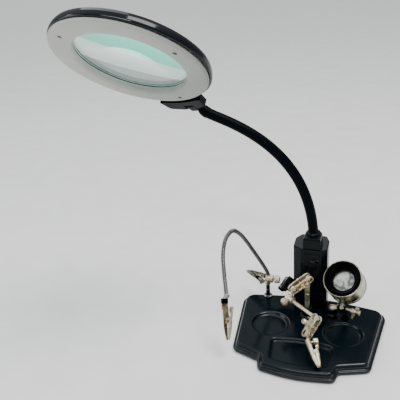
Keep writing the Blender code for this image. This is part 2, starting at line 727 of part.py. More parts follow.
def smooth_route(points, steps):
    """A Catmull-Rom curve through the given points."""
    ends = [points[0] * 2.0 - points[1]] + points + [points[-1] * 2.0 - points[-2]]
    curve = []
    for i in range(len(points) - 1):
        a, b, c, d = ends[i:i + 4]
        for k in range(steps):
            t = k / steps
            curve.append(0.5 * (2.0 * b + (c - a) * t + (2.0 * a - 5.0 * b + 4.0 * c - d) * t * t
                                + (3.0 * b - 3.0 * c + d - a) * t ** 3))
    curve.append(points[-1])
    return curve


# ---- Front arm ---------------------------------------------------------------------------------
def make_front_post(mats):
    x, y = FRONT_POST
    at = Matrix.Translation((x, y, 0.0))
    bore = ROD_RADIUS + 0.35
    socket = [(7.0, DECK + GAP), (7.0, DECK + 1.6), (5.2, DECK + 2.6), (4.8, 20.2), (4.0, 21.0), (bore, 21.0),
              (bore, 12.0), (bore, DECK + GAP)]
    finish("front_socket", moved(turned(socket, 20, closed=True), at), mats["black"])
    rod = [(ROD_RADIUS, DECK + 1.2), (ROD_RADIUS, 36.0), (1.5, 36.4), (1.5, 37.6), (ROD_RADIUS, 38.0),
           (ROD_RADIUS, 48.6), (1.3, 49.6), (1.3, 52.0)]
    post = finish("front_post", moved(turned(rod, 16), at), mats["nickel"], (x, y, DECK))
    join(post, moved(ball(BALL_RADIUS, 14), Matrix.Translation(BALL_A)))


def clamp_frame(first, second, normal):
    """Origin midway between two balls, +X towards the second, +Z along the clamp screw."""
    middle = (vec(first) + vec(second)) / 2.0
    along = vec(second) - vec(first)
    z = vec(normal) - along * (vec(normal).dot(along) / along.length_squared)
    return frame_at(middle, z, along)


def make_clamp(name, first, second, normal, mats):
    """Two oblong plates that pinch a ball at each end."""
    place = clamp_frame(first, second, normal)
    reach = (vec(second) - vec(first)).length / 2.0
    half = CLAMP_PLATE_HALF_WIDTH
    length = reach + half
    outline = rounded([(-length, -half, half - 0.2), (length, -half, half - 0.2), (length, half, half - 0.2),
                       (-length, half, half - 0.2)], 4)
    for side in (1, 2):
        sign = 1.0 if side == 1 else -1.0
        low = sign * PLATE_GAP
        high = sign * (PLATE_GAP + CLAMP_PLATE_THICKNESS)
        plate = slab(outline, min(low, high), max(low, high))
        piece = finish(f"{name}_plate_{side}", moved(plate, place), mats["nickel"], first)
        for spot, radius in ((-reach, 2.35), (reach, 2.35), (0.0, 1.75)):
            hole = turned([(radius, -6.0), (radius, 6.0)], 14)
            cut(piece, moved(hole, place @ Matrix.Translation((spot, 0.0, 0.0))))
    return place


def make_front_arm(mats):
    make_front_post(mats)
    upper = make_clamp("upper", BALL_A, BALL_B, UPPER_NORMAL, mats)
    outer = PLATE_GAP + CLAMP_PLATE_THICKNESS + GAP
    screw = [(2.9, -outer - 2.2), (2.9, -outer), (1.4, -outer), (1.4, outer + 3.6), (1.2, outer + 4.6)]
    wing_nut = finish("upper_wing_nut", moved(turned(screw, 12), upper), mats["brass"], upper.to_translation())
    nut = turned([(2.6, outer), (2.6, outer + 2.4)], 6)
    wing = box((-5.8, -0.8, outer + 0.4), (5.8, 0.8, outer + 3.4))
    join(wing_nut, moved(nut, upper), moved(wing, upper))

    along = (vec(BALL_C) - vec(ROD_BLOCK)).normalized()
    rod_place = frame_at(ROD_BLOCK, along)
    bore = ROD_RADIUS + 0.35
    sleeve = [(3.7, -4.2), (3.7, 4.2), (bore, 4.2), (bore, -4.2)]
    block = finish("rod_block", moved(turned(sleeve, 16, closed=True), rod_place), mats["nickel"], BALL_B)
    stem_axis = vec(BALL_B) - vec(ROD_BLOCK)
    stem = turned([(1.7, 3.0), (1.5, stem_axis.length)], 12)
    join(block, moved(stem, frame_at(ROD_BLOCK, stem_axis)), moved(ball(BALL_RADIUS, 14), Matrix.Translation(BALL_B)))
    length = (vec(BALL_C) - vec(ROD_BLOCK)).length
    bar = turned([(ROD_RADIUS - 0.4, -6.0), (ROD_RADIUS, -5.5), (ROD_RADIUS, length - 5.4), (1.2, length - 4.6),
                  (1.2, length - 1.0)], 16)
    rod = finish("arm_rod", moved(bar, rod_place), mats["nickel"], ROD_BLOCK)
    join(rod, moved(ball(BALL_RADIUS, 14), Matrix.Translation(BALL_C)))
    thumb_axis = (along.y, -along.x, 0.04)
    thumb_place = frame_at(ROD_BLOCK, thumb_axis)
    thumb = turned([(1.4, 4.1), (1.4, 6.0), (3.7, 6.2), (3.9, 6.8), (3.9, 9.0), (3.2, 9.6)], 16)
    finish("block_thumb_screw", moved(thumb, thumb_place), mats["nickel"], ROD_BLOCK)

    lower = make_clamp("lower", BALL_C, BALL_D, LOWER_NORMAL, mats)
    long_screw = [(2.6, -outer - 1.8), (2.6, -outer), (1.4, -outer), (1.4, outer + 4.2), (2.4, outer + 4.8),
                  (2.6, outer + 5.4), (2.6, outer + 8.6), (1.9, outer + 9.4)]
    finish("lower_thumb_screw", moved(turned(long_screw, 12), lower), mats["nickel"], lower.to_translation())


def make_clip_1(mats):
    place, body = make_clip(1, BALL_D, CLIP_1_TIP, (0.934, 0.357, 0.0), 0.92, 17.6, SHORT_LEVER, mats["nickel"])
    tail_axis = Matrix.Translation((0.0, 0.0, BARREL_DROP)) @ Matrix.Rotation(-math.pi / 2.0, 4, "Y")
    neck_start = (place @ tail_axis) @ Vector((0.0, 0.0, 17.0))
    neck = swept([neck_start, vec(BALL_D)], [1.1, 1.1], 10)
    join(body, neck, moved(ball(BALL_RADIUS, 14), Matrix.Translation(BALL_D)))
    screw_place = place @ Matrix.Translation((-14.6, 0.0, BARREL_DROP))
    head = turned([(1.3, 3.0), (1.3, 4.6), (3.3, 4.8), (3.6, 5.3), (3.6, 8.9), (3.0, 9.5)], 16)
    finish("clip_1_thumb_screw", moved(head, screw_place), mats["nickel"], screw_place.to_translation())


# ---- Loupe -------------------------------------------------------------------------------------
def make_loupe(mats):
    place = frame_at(LOUPE_FRONT, LOUPE_AXIS)
    r = LOUPE_RADIUS
    barrel = [
        (r - 1.3, 0.6), (r, 1.6), (r, 9.0), (r - 0.7, 10.0), (r - 0.7, LOUPE_LENGTH - 1.0), (r - 1.6, LOUPE_LENGTH),
        (r - 3.4, LOUPE_LENGTH), (r - 3.4, 16.0), (11.2, 13.2), (9.6, 13.2), (9.6, 12.2), (11.2, 12.2), (11.2, 8.6),
        (r - 1.3, 8.6),
    ]
    side = (vec(LOUPE_AXIS).cross(Vector((0.0, 0.0, 1.0)))).normalized()
    piece = finish("loupe_barrel", moved(turned(barrel, 36, closed=True), place), mats["nickel"], LOUPE_PIVOT)
    ear_place = frame_at(LOUPE_PIVOT, vec(LOUPE_PIVOT) - closest_on_axis(LOUPE_PIVOT), side)
    ear = box((-1.5, -3.0, -4.8), (1.5, 3.0, 2.6))
    join(piece, moved(ear, ear_place))
    cut(piece, moved(turned([(1.65, -6.0), (1.65, 6.0)], 12), frame_at(LOUPE_PIVOT, side)))
    cup = [
        (r - 1.7, -1.0), (r - 1.7, 7.6), (r - 3.2, 8.2), (11.3, 8.2), (10.4, 8.0), (10.4, 5.2), (12.0, 3.6),
        (r - 4.0, 0.4), (r - 3.0, -1.0),
    ]
    finish("loupe_eyecup", moved(turned(cup, 36, closed=True), place), mats["black"], LOUPE_PIVOT)
    lens = [(2.0, 8.9), (6.0, 9.3), (9.0, 9.9), (10.8, 10.5), (10.8, 11.4), (8.0, 11.9), (2.0, 11.9)]
    finish("loupe_lens", moved(turned(lens, 28), place), mats["glass"], LOUPE_PIVOT)

    x, y = LOUPE_POST
    post = [(4.0, DECK + GAP), (4.0, DECK + 1.2), (1.9, DECK + 1.6), (1.9, 17.0), (1.3, 17.4), (1.3, 19.6)]
    finish("loupe_post", moved(turned(post, 14), Matrix.Translation((x, y, 0.0))), mats["dark_chrome"])
    collar = moved(turned([(2.9, 17.8), (2.9, 22.0)], 14), Matrix.Translation((x, y, 0.0)))
    bracket = finish("loupe_bracket", collar, mats["nickel"], (x, y, 17.0))
    fork_place = frame_at(LOUPE_PIVOT, (0.0, 0.0, 1.0), side)
    towards_post = fork_place.inverted() @ Vector((x, y, 20.0))
    seat = box((-4.1, min(-2.4, towards_post.y - 1.4), -5.6), (4.1, max(2.4, towards_post.y + 1.4), -4.0))
    cheek_left = box((-4.1, -2.2, -4.6), (-2.3, 2.2, 2.0))
    cheek_right = box((2.3, -2.2, -4.6), (4.1, 2.2, 2.0))
    join(bracket, moved(seat, fork_place), moved(cheek_left, fork_place), moved(cheek_right, fork_place))
    cut(
        bracket,
        moved(turned([(1.65, -8.0), (1.65, 8.0)], 12), frame_at(LOUPE_PIVOT, side)),
        moved(turned([(1.65, 15.0), (1.65, 20.0)], 14), Matrix.Translation((x, y, 0.0))),
    )
    screw = turned([(2.2, -6.0), (2.2, -4.6), (1.25, -4.6), (1.25, 9.0), (2.4, 9.2), (2.4, 13.4), (1.8, 14.0)], 12)
    wing_place = frame_at(LOUPE_PIVOT, side, (0.0, 0.0, 1.0))
    wing_screw = finish("loupe_wing_screw", moved(screw, wing_place), mats["nickel"], LOUPE_PIVOT)
    wing = rounded([(-5.4, 10.2, 1.2), (0.0, 9.4, 0.0), (5.4, 10.6, 1.2), (5.4, 14.2, 1.2), (0.0, 13.2, 0.0),
                    (-5.4, 13.8, 1.2)], 2)
    turn = Matrix.Rotation(math.radians(25.0), 4, "Z") @ Matrix.Rotation(math.pi / 2.0, 4, "X")
    join(wing_screw, moved(slab(wing, -0.8, 0.8), wing_place @ turn))


def closest_on_axis(point):
    start = vec(LOUPE_FRONT)
    axis = vec(LOUPE_AXIS).normalized()
    return start + axis * (vec(point) - start).dot(axis)


# ---- Whole object ------------------------------------------------------------------------------
def main():
    clear_scene()
    mats = make_materials()
    make_base(mats)
    make_column(mats)
    make_neck_socket(mats)
    make_side_knob(mats)
    neck = jointed_bar("neck", neck_path(), NECK_SEGMENTS, NECK_RADIUS, 12, mats["neck"], 8)
    make_head(mats)
    make_head_bracket(mats, neck[-1], neck_path()[-1] - neck_path()[-3])
    make_left_post(mats)
    make_clip(2, CLIP_2_ROOT, CLIP_2_TIP, (0.0, 0.0, -1.0), 0.92, 18.4, LONG_LEVER, mats["nickel"])
    route = smooth_route([vec(p) for p in HOSE_ROUTE], 12)
    jointed_bar("hose", route, HOSE_SEGMENTS, HOSE_RADIUS, 10, mats["hose"], 9)
    make_clip(3, CLIP_3_ROOT, CLIP_3_TIP, (0.934, 0.357, 0.0), 1.1, 18.0, LONG_LEVER, mats["nickel"])
    make_front_arm(mats)
    make_clip_1(mats)
    make_loupe(mats)


main()
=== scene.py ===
"""The looks of the helping hands clamp with its ring magnifier lamp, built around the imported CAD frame.

Sizes are in millimetres and become metres where the meshes are made. +X right, +Y back, +Z up.
"""

import math

import bmesh
import bpy
from mathutils import Matrix, Vector


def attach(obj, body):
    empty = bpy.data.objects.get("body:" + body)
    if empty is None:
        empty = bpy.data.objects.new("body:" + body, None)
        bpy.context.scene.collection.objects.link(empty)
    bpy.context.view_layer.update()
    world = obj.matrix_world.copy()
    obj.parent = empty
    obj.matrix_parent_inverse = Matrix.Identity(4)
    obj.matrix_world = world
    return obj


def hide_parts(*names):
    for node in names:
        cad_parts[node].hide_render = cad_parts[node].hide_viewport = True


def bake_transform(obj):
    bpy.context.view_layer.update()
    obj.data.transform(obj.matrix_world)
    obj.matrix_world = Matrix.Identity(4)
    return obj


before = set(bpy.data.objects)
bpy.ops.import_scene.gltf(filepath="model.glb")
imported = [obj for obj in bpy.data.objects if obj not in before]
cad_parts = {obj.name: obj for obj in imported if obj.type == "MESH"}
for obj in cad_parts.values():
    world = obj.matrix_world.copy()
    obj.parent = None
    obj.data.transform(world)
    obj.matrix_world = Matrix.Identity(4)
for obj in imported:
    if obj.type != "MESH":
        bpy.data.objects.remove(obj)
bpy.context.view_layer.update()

MM = 0.001
SMOOTH_ANGLE = math.radians(35)
BAR_ANGLE = math.radians(60)

# ---- Camera, floor and light -------------------------------------
CAMERA_PLACE = (69.8, -441.7, 358.1)
CAMERA_YAW = 0.365
CAMERA_PITCH = 0.435
CAMERA_ROLL = -0.08
CAMERA_LENS = 50.41
WORLD_LOW = 0.3
WORLD_HIGH = 0.9
LIGHT_TARGET = (-0.04, 0, 0.1)  # in metres, like the lights' places
SOFT_BOXES = [  # name, place, width, height, watts, colour
    ("key", (0.42, -0.05, 1.4), 0.6, 0.6, 15, (1, 0.985, 0.96)),
    ("front", (-0.1, -1, 1.3), 0.9, 0.12, 6, (0.98, 0.99, 1)),
    ("left", (-1.4, -0.5, 0.7), 0.8, 0.8, 7, (0.95, 0.98, 1)),
]
SUN_SPREAD = 0.7

# ---- Base --------------------------------------------------------
DECK = 9
OUTLINE_CORNERS = [  # right half, front to back: x, y, corner radius
    (0, -65.5, 110),
    (34.3, -60.3, 7),
    (36.6, -48.9, 4),
    (63.2, -39.6, 8),
    (73.6, 47.5, 13),
    (0, 59, 250),
]
RIM_PROFILE = [  # inset from the outline, height
    (2.6, 1.3), (0.5, 1.3), (0.12, 1.5), (0, 1.9), (0, 3.2), (0.1, 3.6), (0.4, 3.95), (0.9, 4.12),
    (1.6, 4.2), (2.1, 4.4), (2.45, 4.8), (2.7, 5.5), (2.95, 6.3), (3.25, 7.1), (3.7, 7.8), (4.3, 8.4),
    (5.1, 8.8), (6, DECK),
]
DISH_X = 35.1
DISH_PROFILE = [  # radius, height
    (0.4, 6.1), (14.6, 6.1), (15.7, 6.2), (16.6, 6.5), (17.2, 7), (17.6, 7.6), (17.9, 8.1), (18.3, 8.5),
    (18.9, 8.8), (19.7, 8.99), (20.4, 10),
]
TRAY_CORNERS = [(0, -15.5, 90), (29.5, -21.5, 5), (26.5, -50, 6), (0, -54, 90)]
TRAY_PROFILE = [  # inset from the tray's outline, height
    (3.6, 5.9), (2.5, 6), (1.6, 6.35), (1.1, 6.9), (0.8, 7.6), (0.5, 8.15), (0.1, 8.6), (-0.5, 8.88),
    (-1.1, 8.99), (-1.7, 10),
]
DOME_PLACE = (21.8, 30.5)
DOME_BOSS_TOP = 15.6

# ---- Column ------------------------------------------------------
COLUMN_Y = 43
COLUMN_TOP = 79
COLUMN_WALL = 2
COLUMN_RIGHT = [(9, -12.5, 1.6), (15, -9, 2.4), (15, 5, 4), (11.5, 12, 2)]
COLUMN_LEFT = [(13, 12, 2), (18.4, 5, 4), (18.4, -8, 2.4), (10.4, -12.5, 1.6)]
COLUMN_SLOPE = 0.15
WINDOW_HALF = 8
WINDOW_BOTTOM = 14
WINDOW_TOP = 66
SWITCH_X = 2.5
SWITCH_Z = 66.5
SWITCH_TRAVEL = 3
SOCKET_HALF = 8.6
KNOB_AT = (-24.6, 41, 27.2)
KNOB_AXIS = (-0.79, 0, 0.613)
SOCKET_TOP = 90.6

# ---- Gooseneck ---------------------------------------------------
NECK_PLANE = (-0.9929, -0.1189)
NECK_CURVE = [(0, 79), (-0.9, 186.7), (89.1, 205.9), (99, 214)]
NECK_RADIUS = 4.9
NECK_FOOT = 91

# ---- Lamp head ---------------------------------------------------
HEAD_CENTRE = (-139.3, -29.1, 270.4)
HEAD_UP = (0.081, 0.642, 0.763)
HEAD_TO_NECK = (0.356, 0.695, -0.623)
HEAD_RADIUS = 68.4
HEAD_OPENING = 45.5
RING_INSET = 1.2
RING_SHIFT = 0.9
LENS_RADIUS = 47.4
LENS_EDGE = 1.8
LENS_BULGE = 3.6
LENS_HEIGHT = 4.2
TILT_PIN_OUT = 80.5
TILT_PIN_UP = 1
LUG_CORNERS = [(66.6, -22, 0), (79, -19, 3), (83, -9, 1.5), (83, 10, 1.5),
               (79.5, 24, 3), (66, 26, 0)]
PIN_REACH = 14.5
TONGUE_HALF = 4.8
TONGUE_Y = -1
SLOT_PLAY = 0.9
HEAD_SCREW_ANGLES = [157, 262, 354]
HEAD_SCREW_CIRCLE = 58.5

# ---- Left post, clip and flexible arm ----------------------------
LEFT_POST = (-47.3, 45)
LEFT_BLOCK = (-44, 45, 31)
HOSE_RADIUS = 2.1
HOSE_ROUTE = [(-46.8, 45, 35.7), (-48.2, 44, 41), (-52.6, 41, 52), (-58.5, 36, 66.5), (-64.2, 30, 81.3),
              (-69, 23.5, 93), (-73.4, 14, 101), (-77.2, 3, 97.5), (-77.2, -8, 86), (-73.8, -18, 71.5),
              (-69.2, -29, 55.2)]
RIB_PITCH = 1.3
RIB_DEPTH = 0.16

# ---- Front arm ---------------------------------------------------
FRONT_POST = (-2, 20)
FRONT_POST_RADIUS = 2.5
BALL_A = (-1.3, 20, 53.6)
BALL_B = (-14, 10, 45.6)
ROD_BLOCK = (-16.8, 9, 34.1)
BALL_C = (11.5, -12, 31.2)
BALL_D = (4.8, -22, 19.8)
UPPER_NORMAL = (0.618, -0.786, 0)
LOWER_NORMAL = (-0.556, -0.436, 0.709)
BALL_RADIUS = 3
ROD_SIDES = 24
BALL_RINGS = 18
ROD_RADIUS = 1.9
PLATE_GAP = 2.5
PLATE_THICKNESS = 1.1
PLATE_HALF_WIDTH = 3.9

# ---- Alligator clips ---------------------------------------------
CLIP_1_TIP = (20.8, -56.5, 14.2)
CLIP_2_ROOT = (-48.6, 46, 30.5)
CLIP_2_TIP = (-75, 65, 23.4)
CLIP_3_ROOT = (-68.9, -29.9, 53.8)
CLIP_3_TIP = (-63.2, -50, 21.8)
BARREL_DROP = -1.9
SHEET = 0.55

# ---- Loupe -------------------------------------------------------
LOUPE_FRONT = (30.5, 20.3, 57.6)
LOUPE_AXIS = (0.197, 0.622, -0.759)
LOUPE_LENGTH = 24
LOUPE_RADIUS = 18.6
LOUPE_PIVOT = (31.8, 18.4, 25.4)
LOUPE_POST = (34.3, 24.5)


# ---- Geometry helpers --------------------------------------------
def vec(point):
    return Vector(point)


def frame_at(origin, z_axis, x_hint=(1, 0, 0)):
    """A placement whose +Z is z_axis and whose +X leans towards x_hint."""
    z = vec(z_axis).normalized()
    x = vec(x_hint) - z * vec(x_hint).dot(z)
    if x.length < 0.01:
        x = Vector((0, 1, 0)) - z * z.y
    x.normalize()
    y = z.cross(x)
    turn = Matrix((x, y, z)).transposed().to_4x4()
    return Matrix.Translation(vec(origin)) @ turn


def at(x, y, z=0):
    return Matrix.Translation((x, y, z))


def quarter(axis):
    """A quarter turn about an axis."""
    return Matrix.Rotation(math.pi / 2, 4, axis)


def circle(radius, height, sides):
    steps = (math.tau * i / sides for i in range(sides))
    return [Vector((radius * math.cos(a), radius * math.sin(a), height)) for a in steps]


def fillet(before, corner, after, radius, steps):
    """Points of the arc that rounds a corner of a polygon."""
    to_before = (before - corner).normalized()
    to_after = (after - corner).normalized()
    half = to_before.angle(to_after) / 2
    reach = radius / math.tan(half)
    centre = corner + (to_before + to_after).normalized() * (radius / math.sin(half))
    start = corner + to_before * reach - centre
    end = corner + to_after * reach - centre
    sweep = start.angle_signed(end)
    arc = []
    for i in range(steps + 1):
        turn = Matrix.Rotation(-sweep * i / steps, 2)
        arc.append(centre + turn @ start)
    return arc


def rounded(corners, steps):
    """A closed outline from (x, y, radius) corners, anticlockwise."""
    outline = []
    count = len(corners)
    for i, (x, y, radius) in enumerate(corners):
        before = Vector(corners[i - 1][:2])
        after = Vector(corners[(i + 1) % count][:2])
        corner = Vector((x, y))
        if radius > 0:
            outline.extend(fillet(before, corner, after, radius, steps))
        else:
            outline.append(corner)
    return outline


def mirrored(corners):
    """The whole outline from its right half, front middle to back middle."""
    left = [(-c[0], *c[1:]) for c in reversed(corners) if c[0] > 0]
    return list(corners) + left


def inset(outline, distance):
    """The outline moved inwards by distance."""
    result = []
    count = len(outline)
    for i, point in enumerate(outline):
        along_in = (point - outline[i - 1]).normalized()
        along_out = (outline[(i + 1) % count] - point).normalized()
        normal = Vector((-(along_in.y + along_out.y), along_in.x + along_out.x)).normalized()
        spread = max(0.5, normal.dot(Vector((-along_out.y, along_out.x))))
        result.append(point + normal * (distance / spread))
    return result


def level(outline, height):
    return [Vector((p.x, p.y, height)) for p in outline]


def stack(outline, profile):
    """Rings of the outline at each (inset, height) of the profile."""
    return [level(inset(outline, distance), height) for distance, height in profile]


def loft(rings, closed=False):
    """A solid skin over rings of equal length; flat ends unless the rings close on themselves."""
    bm = bmesh.new()
    loops = [[bm.verts.new(p) for p in ring] for ring in rings]
    pairs = list(zip(loops, loops[1:]))
    if closed:
        pairs.append((loops[-1], loops[0]))
    for low, high in pairs:
        for i in range(len(low)):
            j = (i + 1) % len(low)
            bm.faces.new((low[i], low[j], high[j], high[i]))
    if not closed:
        bm.faces.new(list(reversed(loops[0])))
        bm.faces.new(loops[-1])
    bmesh.ops.recalc_face_normals(bm, faces=bm.faces)
    return bm


def soften(profile, radius, steps, closed):
    """The (radius, height) profile with its corners rounded."""
    points = [Vector(p) for p in profile]
    count = len(points)
    result = []
    for i, corner in enumerate(points):
        if not closed and i in (0, count - 1):
            result.append(corner)
            continue
        before, after = points[i - 1], points[(i + 1) % count]
        to_before, to_after = before - corner, after - corner
        bend = math.pi - to_before.angle(to_after)
        if bend < math.radians(12):
            result.append(corner)
            continue
        reach = min(radius * math.tan(bend / 2), to_before.length * 0.45, to_after.length * 0.45)
        start = corner + to_before.normalized() * reach
        end = corner + to_after.normalized() * reach
        for k in range(steps + 1):
            t = k / steps
            result.append(start * (1 - t) ** 2 + corner * 2 * t * (1 - t) + end * t * t)
    return [(p.x, p.y) for p in result]


def turned(profile, sides, closed=False):
    """A turned piece from (radius, height) points, bottom to top."""
    return loft([circle(radius, height, sides) for radius, height in profile], closed)


def spun(profile, radius, sides, place=None, steps=3, closed=False):
    """A turned piece with softened corners, at its place."""
    return moved(turned(soften(profile, radius, steps, closed), sides, closed), place or Matrix())


def rod(radius, low, high, place):
    """A plain round rod along the place's Z, mostly to cut a bore."""
    return moved(turned([(radius, low), (radius, high)], ROD_SIDES), place)


def slab(outline, bottom, top, edge):
    """An extruded outline, with its two rims rounded by edge."""
    if edge <= 0:
        return loft([level(outline, bottom), level(outline, top)])
    steps = [math.radians(degrees) for degrees in (90, 60, 30, 0)]
    arc = [(edge * (1 - math.cos(a)), edge * (1 - math.sin(a))) for a in steps]
    profile = [(side, bottom + up) for side, up in arc] + [(side, top - up) for side, up in reversed(arc)]
    return loft(stack(outline, profile))


def block(low, high, edge=0.3, corner=0.3):
    """A box between two corners with rounded edges."""
    corners = [(low[0], low[1], corner), (high[0], low[1], corner), (high[0], high[1], corner),
               (low[0], high[1], corner)]
    return slab(rounded(corners, 3), low[2], high[2], edge)


def ball(centre):
    """A clamp ball."""
    profile = []
    for i in range(BALL_RINGS + 1):
        angle = math.pi * (i / BALL_RINGS - 0.5)
        profile.append((max(BALL_RADIUS * math.cos(angle), 0.02), BALL_RADIUS * math.sin(angle)))
    return moved(turned(profile, 28), at(*centre))


def swept(points, radii, sides):
    """A round bar along points, with a radius at each."""
    rings = []
    side = None
    for i, point in enumerate(points):
        ahead = points[min(i + 1, len(points) - 1)]
        behind = points[max(i - 1, 0)]
        along = (ahead - behind).normalized()
        if side is None:
            side = along.orthogonal().normalized()
        side = (side - along * side.dot(along)).normalized()
        across = along.cross(side)
        ring = []
        for k in range(sides):
            angle = math.tau * k / sides
            ring.append(point + (side * math.cos(angle) + across * math.sin(angle)) * radii[i])
        rings.append(ring)
    return loft(rings)


def moved(bm, placement):
    bm.transform(placement)
    return bm


def merged(*parts):
    """Several bmeshes as one."""
    whole = bmesh.new()
    for part in parts:
        mesh = bpy.data.meshes.new("part")
        part.to_mesh(mesh)
        part.free()
        whole.from_mesh(mesh)
        bpy.data.meshes.remove(mesh)
    return whole


# ---- Pieces ------------------------------------------------------
def raw_object(name, bm):
    bmesh.ops.scale(bm, vec=(MM, MM, MM), verts=bm.verts)
    mesh = bpy.data.meshes.new(name)
    bm.to_mesh(mesh)
    bm.free()
    piece = bpy.data.objects.new(name, mesh)
    bpy.context.scene.collection.objects.link(piece)
    return piece


def boolean(piece, tools, operation):
    """Cuts or joins each tool bmesh, in millimetres."""
    for tool_mesh in tools:
        tool = raw_object("tool", tool_mesh)
        step = piece.modifiers.new(operation.title(), "BOOLEAN")
        step.operation = operation
        step.solver = "MANIFOLD"
        step.object = tool
        bpy.context.view_layer.update()
        depsgraph = bpy.context.evaluated_depsgraph_get()
        result = bpy.data.meshes.new_from_object(piece.evaluated_get(depsgraph))
        old = piece.data
        piece.modifiers.clear()
        piece.data = result
        bpy.data.meshes.remove(old)
        bpy.data.objects.remove(tool, do_unlink=True)


def shade(piece, angle):
    piece.data.shade_smooth()
    piece.data.set_sharp_from_angle(angle=angle)


def place_piece(piece, look, body, nodes):
    material, slot = LOOKS[look]
    piece.data.materials.clear()
    piece.data.materials.append(material)
    if nodes:
        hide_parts(*nodes)
    if body is not None:
        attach(piece, body)


def add(name, bm, look, body, nodes=(), cuts=(), joins=()):
    """A finished piece: its mesh, cut and joined, its look, its body and the CAD nodes it stands for."""
    piece = raw_object(name, bm)
    boolean(piece, joins, "UNION")
    boolean(piece, cuts, "DIFFERENCE")
    shade(piece, SMOOTH_ANGLE)
    weights = piece.modifiers.new("Normals", "WEIGHTED_NORMAL")
    weights.keep_sharp = True
    piece.data.name = name
    place_piece(piece, look, body, nodes)


# ---- Materials ---------------------------------------------------
MIX_FIRST = 6  # the colour sockets of a Mix node, whose names it shares with its other kinds
MIX_SECOND = 7
MIX_RESULT = 2
BLACK_PLASTICS = {  # slot, dark, dusty, smoothest, roughest, grain, sheen, extra sheen on rubbed rims
    "black": ("black_plastic", (0.001, 0.0042, 0.0066), (0.003, 0.007, 0.0095), 0.14, 0.24, 0.1, 0.045, 0.55),
    "gloss": ("black_plastic", (0.002, 0.0035, 0.006), (0.003, 0.005, 0.008), 0.07, 0.13, 0.05, 0.28),
    "column": ("black_plastic", (0.0014, 0.0032, 0.0045), (0.003, 0.005, 0.0065), 0.18, 0.3, 0.12, 0.13),
    "matt": ("black_plastic", (0.0006, 0.0007, 0.0008), (0.001, 0.001, 0.0012), 0.34, 0.46, 0.15, 0.03),
    "neck": ("neck_sleeve", (0.0016, 0.0026, 0.0042), (0.003, 0.004, 0.006), 0.28, 0.4, 0.2, 0.03),
}
PLATED_METALS = {  # slot, pale, warm, smoothest, roughest, metallic where not 1
    "nickel": ("nickel", (0.69, 0.63, 0.47), (0.42, 0.35, 0.22), 0.24, 0.42, 0.88),
    "brass": ("brass", (0.62, 0.5, 0.32), (0.5, 0.34, 0.17), 0.26, 0.42),
    "tarnished": ("nickel", (0.1, 0.095, 0.085), (0.34, 0.3, 0.22), 0.22, 0.4),
    "bronze": ("nickel", (0.16, 0.11, 0.06), (0.42, 0.34, 0.2), 0.16, 0.32),
    "dark_chrome": ("dark_chrome", (0.16, 0.16, 0.17), (0.3, 0.3, 0.3), 0.1, 0.24),
    "hose": ("hose_metal", (0.15, 0.15, 0.146), (0.1, 0.1, 0.096), 0.18, 0.32),
    "barrel": ("nickel", (0.46, 0.43, 0.34), (0.33, 0.31, 0.24), 0.2, 0.34),
    "steel": ("steel", (0.4, 0.4, 0.41), (0.26, 0.25, 0.24), 0.28, 0.5),
}


class Look:
    """A Principled material under construction, with the few nodes that these surfaces need."""

    def __init__(self, name, colour, roughness, metallic=0):
        self.material = bpy.data.materials.new(name)
        self.material.use_nodes = True
        self.nodes = self.material.node_tree.nodes
        self.links = self.material.node_tree.links
        self.shader = self.nodes["Principled BSDF"]
        self.set(Base_Color=(*colour, 1), Roughness=roughness, Metallic=metallic)
        self.place = self.node("TexCoord", "Object")

    def feed(self, socket, value):
        """Links another node's output to a socket, or sets a fixed value on it."""
        if isinstance(value, bpy.types.NodeSocket):
            self.links.new(value, socket)
        else:
            socket.default_value = value

    def set(self, **values):
        for name, value in values.items():
            self.feed(self.shader.inputs[name.replace("_", " ")], value)

    def node(self, kind, output, *ordered, **named):
        """A new node's output, with its first inputs in order and others by name."""
        node = self.nodes.new(f"ShaderNode{kind}")
        for i, value in enumerate(ordered):
            self.feed(node.inputs[i], value)
        for name, value in named.items():
            self.feed(node.inputs[name.replace("_", " ")], value)
        return node.outputs[output]

    def stretched(self, scale):
        return self.node("Mapping", "Vector", self.place, Scale=scale)

    def noise(self, scale, detail, where=None, distortion=0):
        return self.node(
            "TexNoise", "Fac", where or self.place, Scale=scale, Detail=detail, Distortion=distortion)

    def spread(self, source, low, high, start=0.35, end=0.65):
        return self.node("MapRange", "Result", source, start, end, low, high)

    def tint(self, factor, first, second):
        """A mix of two colours, each one fixed or an output."""
        mix = self.nodes.new("ShaderNodeMix")
        mix.data_type = "RGBA"
        self.feed(mix.inputs[0], factor)
        for socket, value in ((MIX_FIRST, first), (MIX_SECOND, second)):
            self.feed(mix.inputs[socket], (*value, 1) if isinstance(value, tuple) else value)
        return mix.outputs[MIX_RESULT]

    def maths(self, operation, first, second):
        node = self.nodes.new("ShaderNodeMath")
        node.operation = operation
        self.feed(node.inputs[0], first)
        self.feed(node.inputs[1], second)
        return node.outputs[0]

    def upward(self):
        """How far the surface faces up: 1 for a level top."""
        return self.node("SeparateXYZ", "Z", self.node("NewGeometry", "Normal"))

    def bump(self, height, strength, distance):
        self.set(Normal=self.node("Bump", "Normal", Height=height, Strength=strength, Distance=distance))


def black_plastic(name, dark, dusty, smooth, rough, grain, sheen, rubbed=0):
    """Moulded black plastic: a fine grain, uneven gloss, a little dust on top, and rims rubbed shiny."""
    look = Look(name, dark, rough)
    settled = look.spread(look.upward(), 0, 1, 0.55, 0.98)
    dust = look.maths("MULTIPLY", look.spread(look.noise(60, 5), 0, 1, 0.4, 0.75), settled)
    look.set(Base_Color=look.tint(dust, dark, dusty))
    look.set(Roughness=look.spread(look.noise(35, 4), smooth, rough))
    look.bump(look.noise(1800, 2), grain, 0.0001)
    look.set(Specular_IOR_Level=sheen)
    if rubbed:
        look.set(Coat_Roughness=(smooth + rough) / 2)
        look.set(Coat_Weight=look.spread(look.upward(), rubbed, 0, 0.955, 0.995))
    return look.material


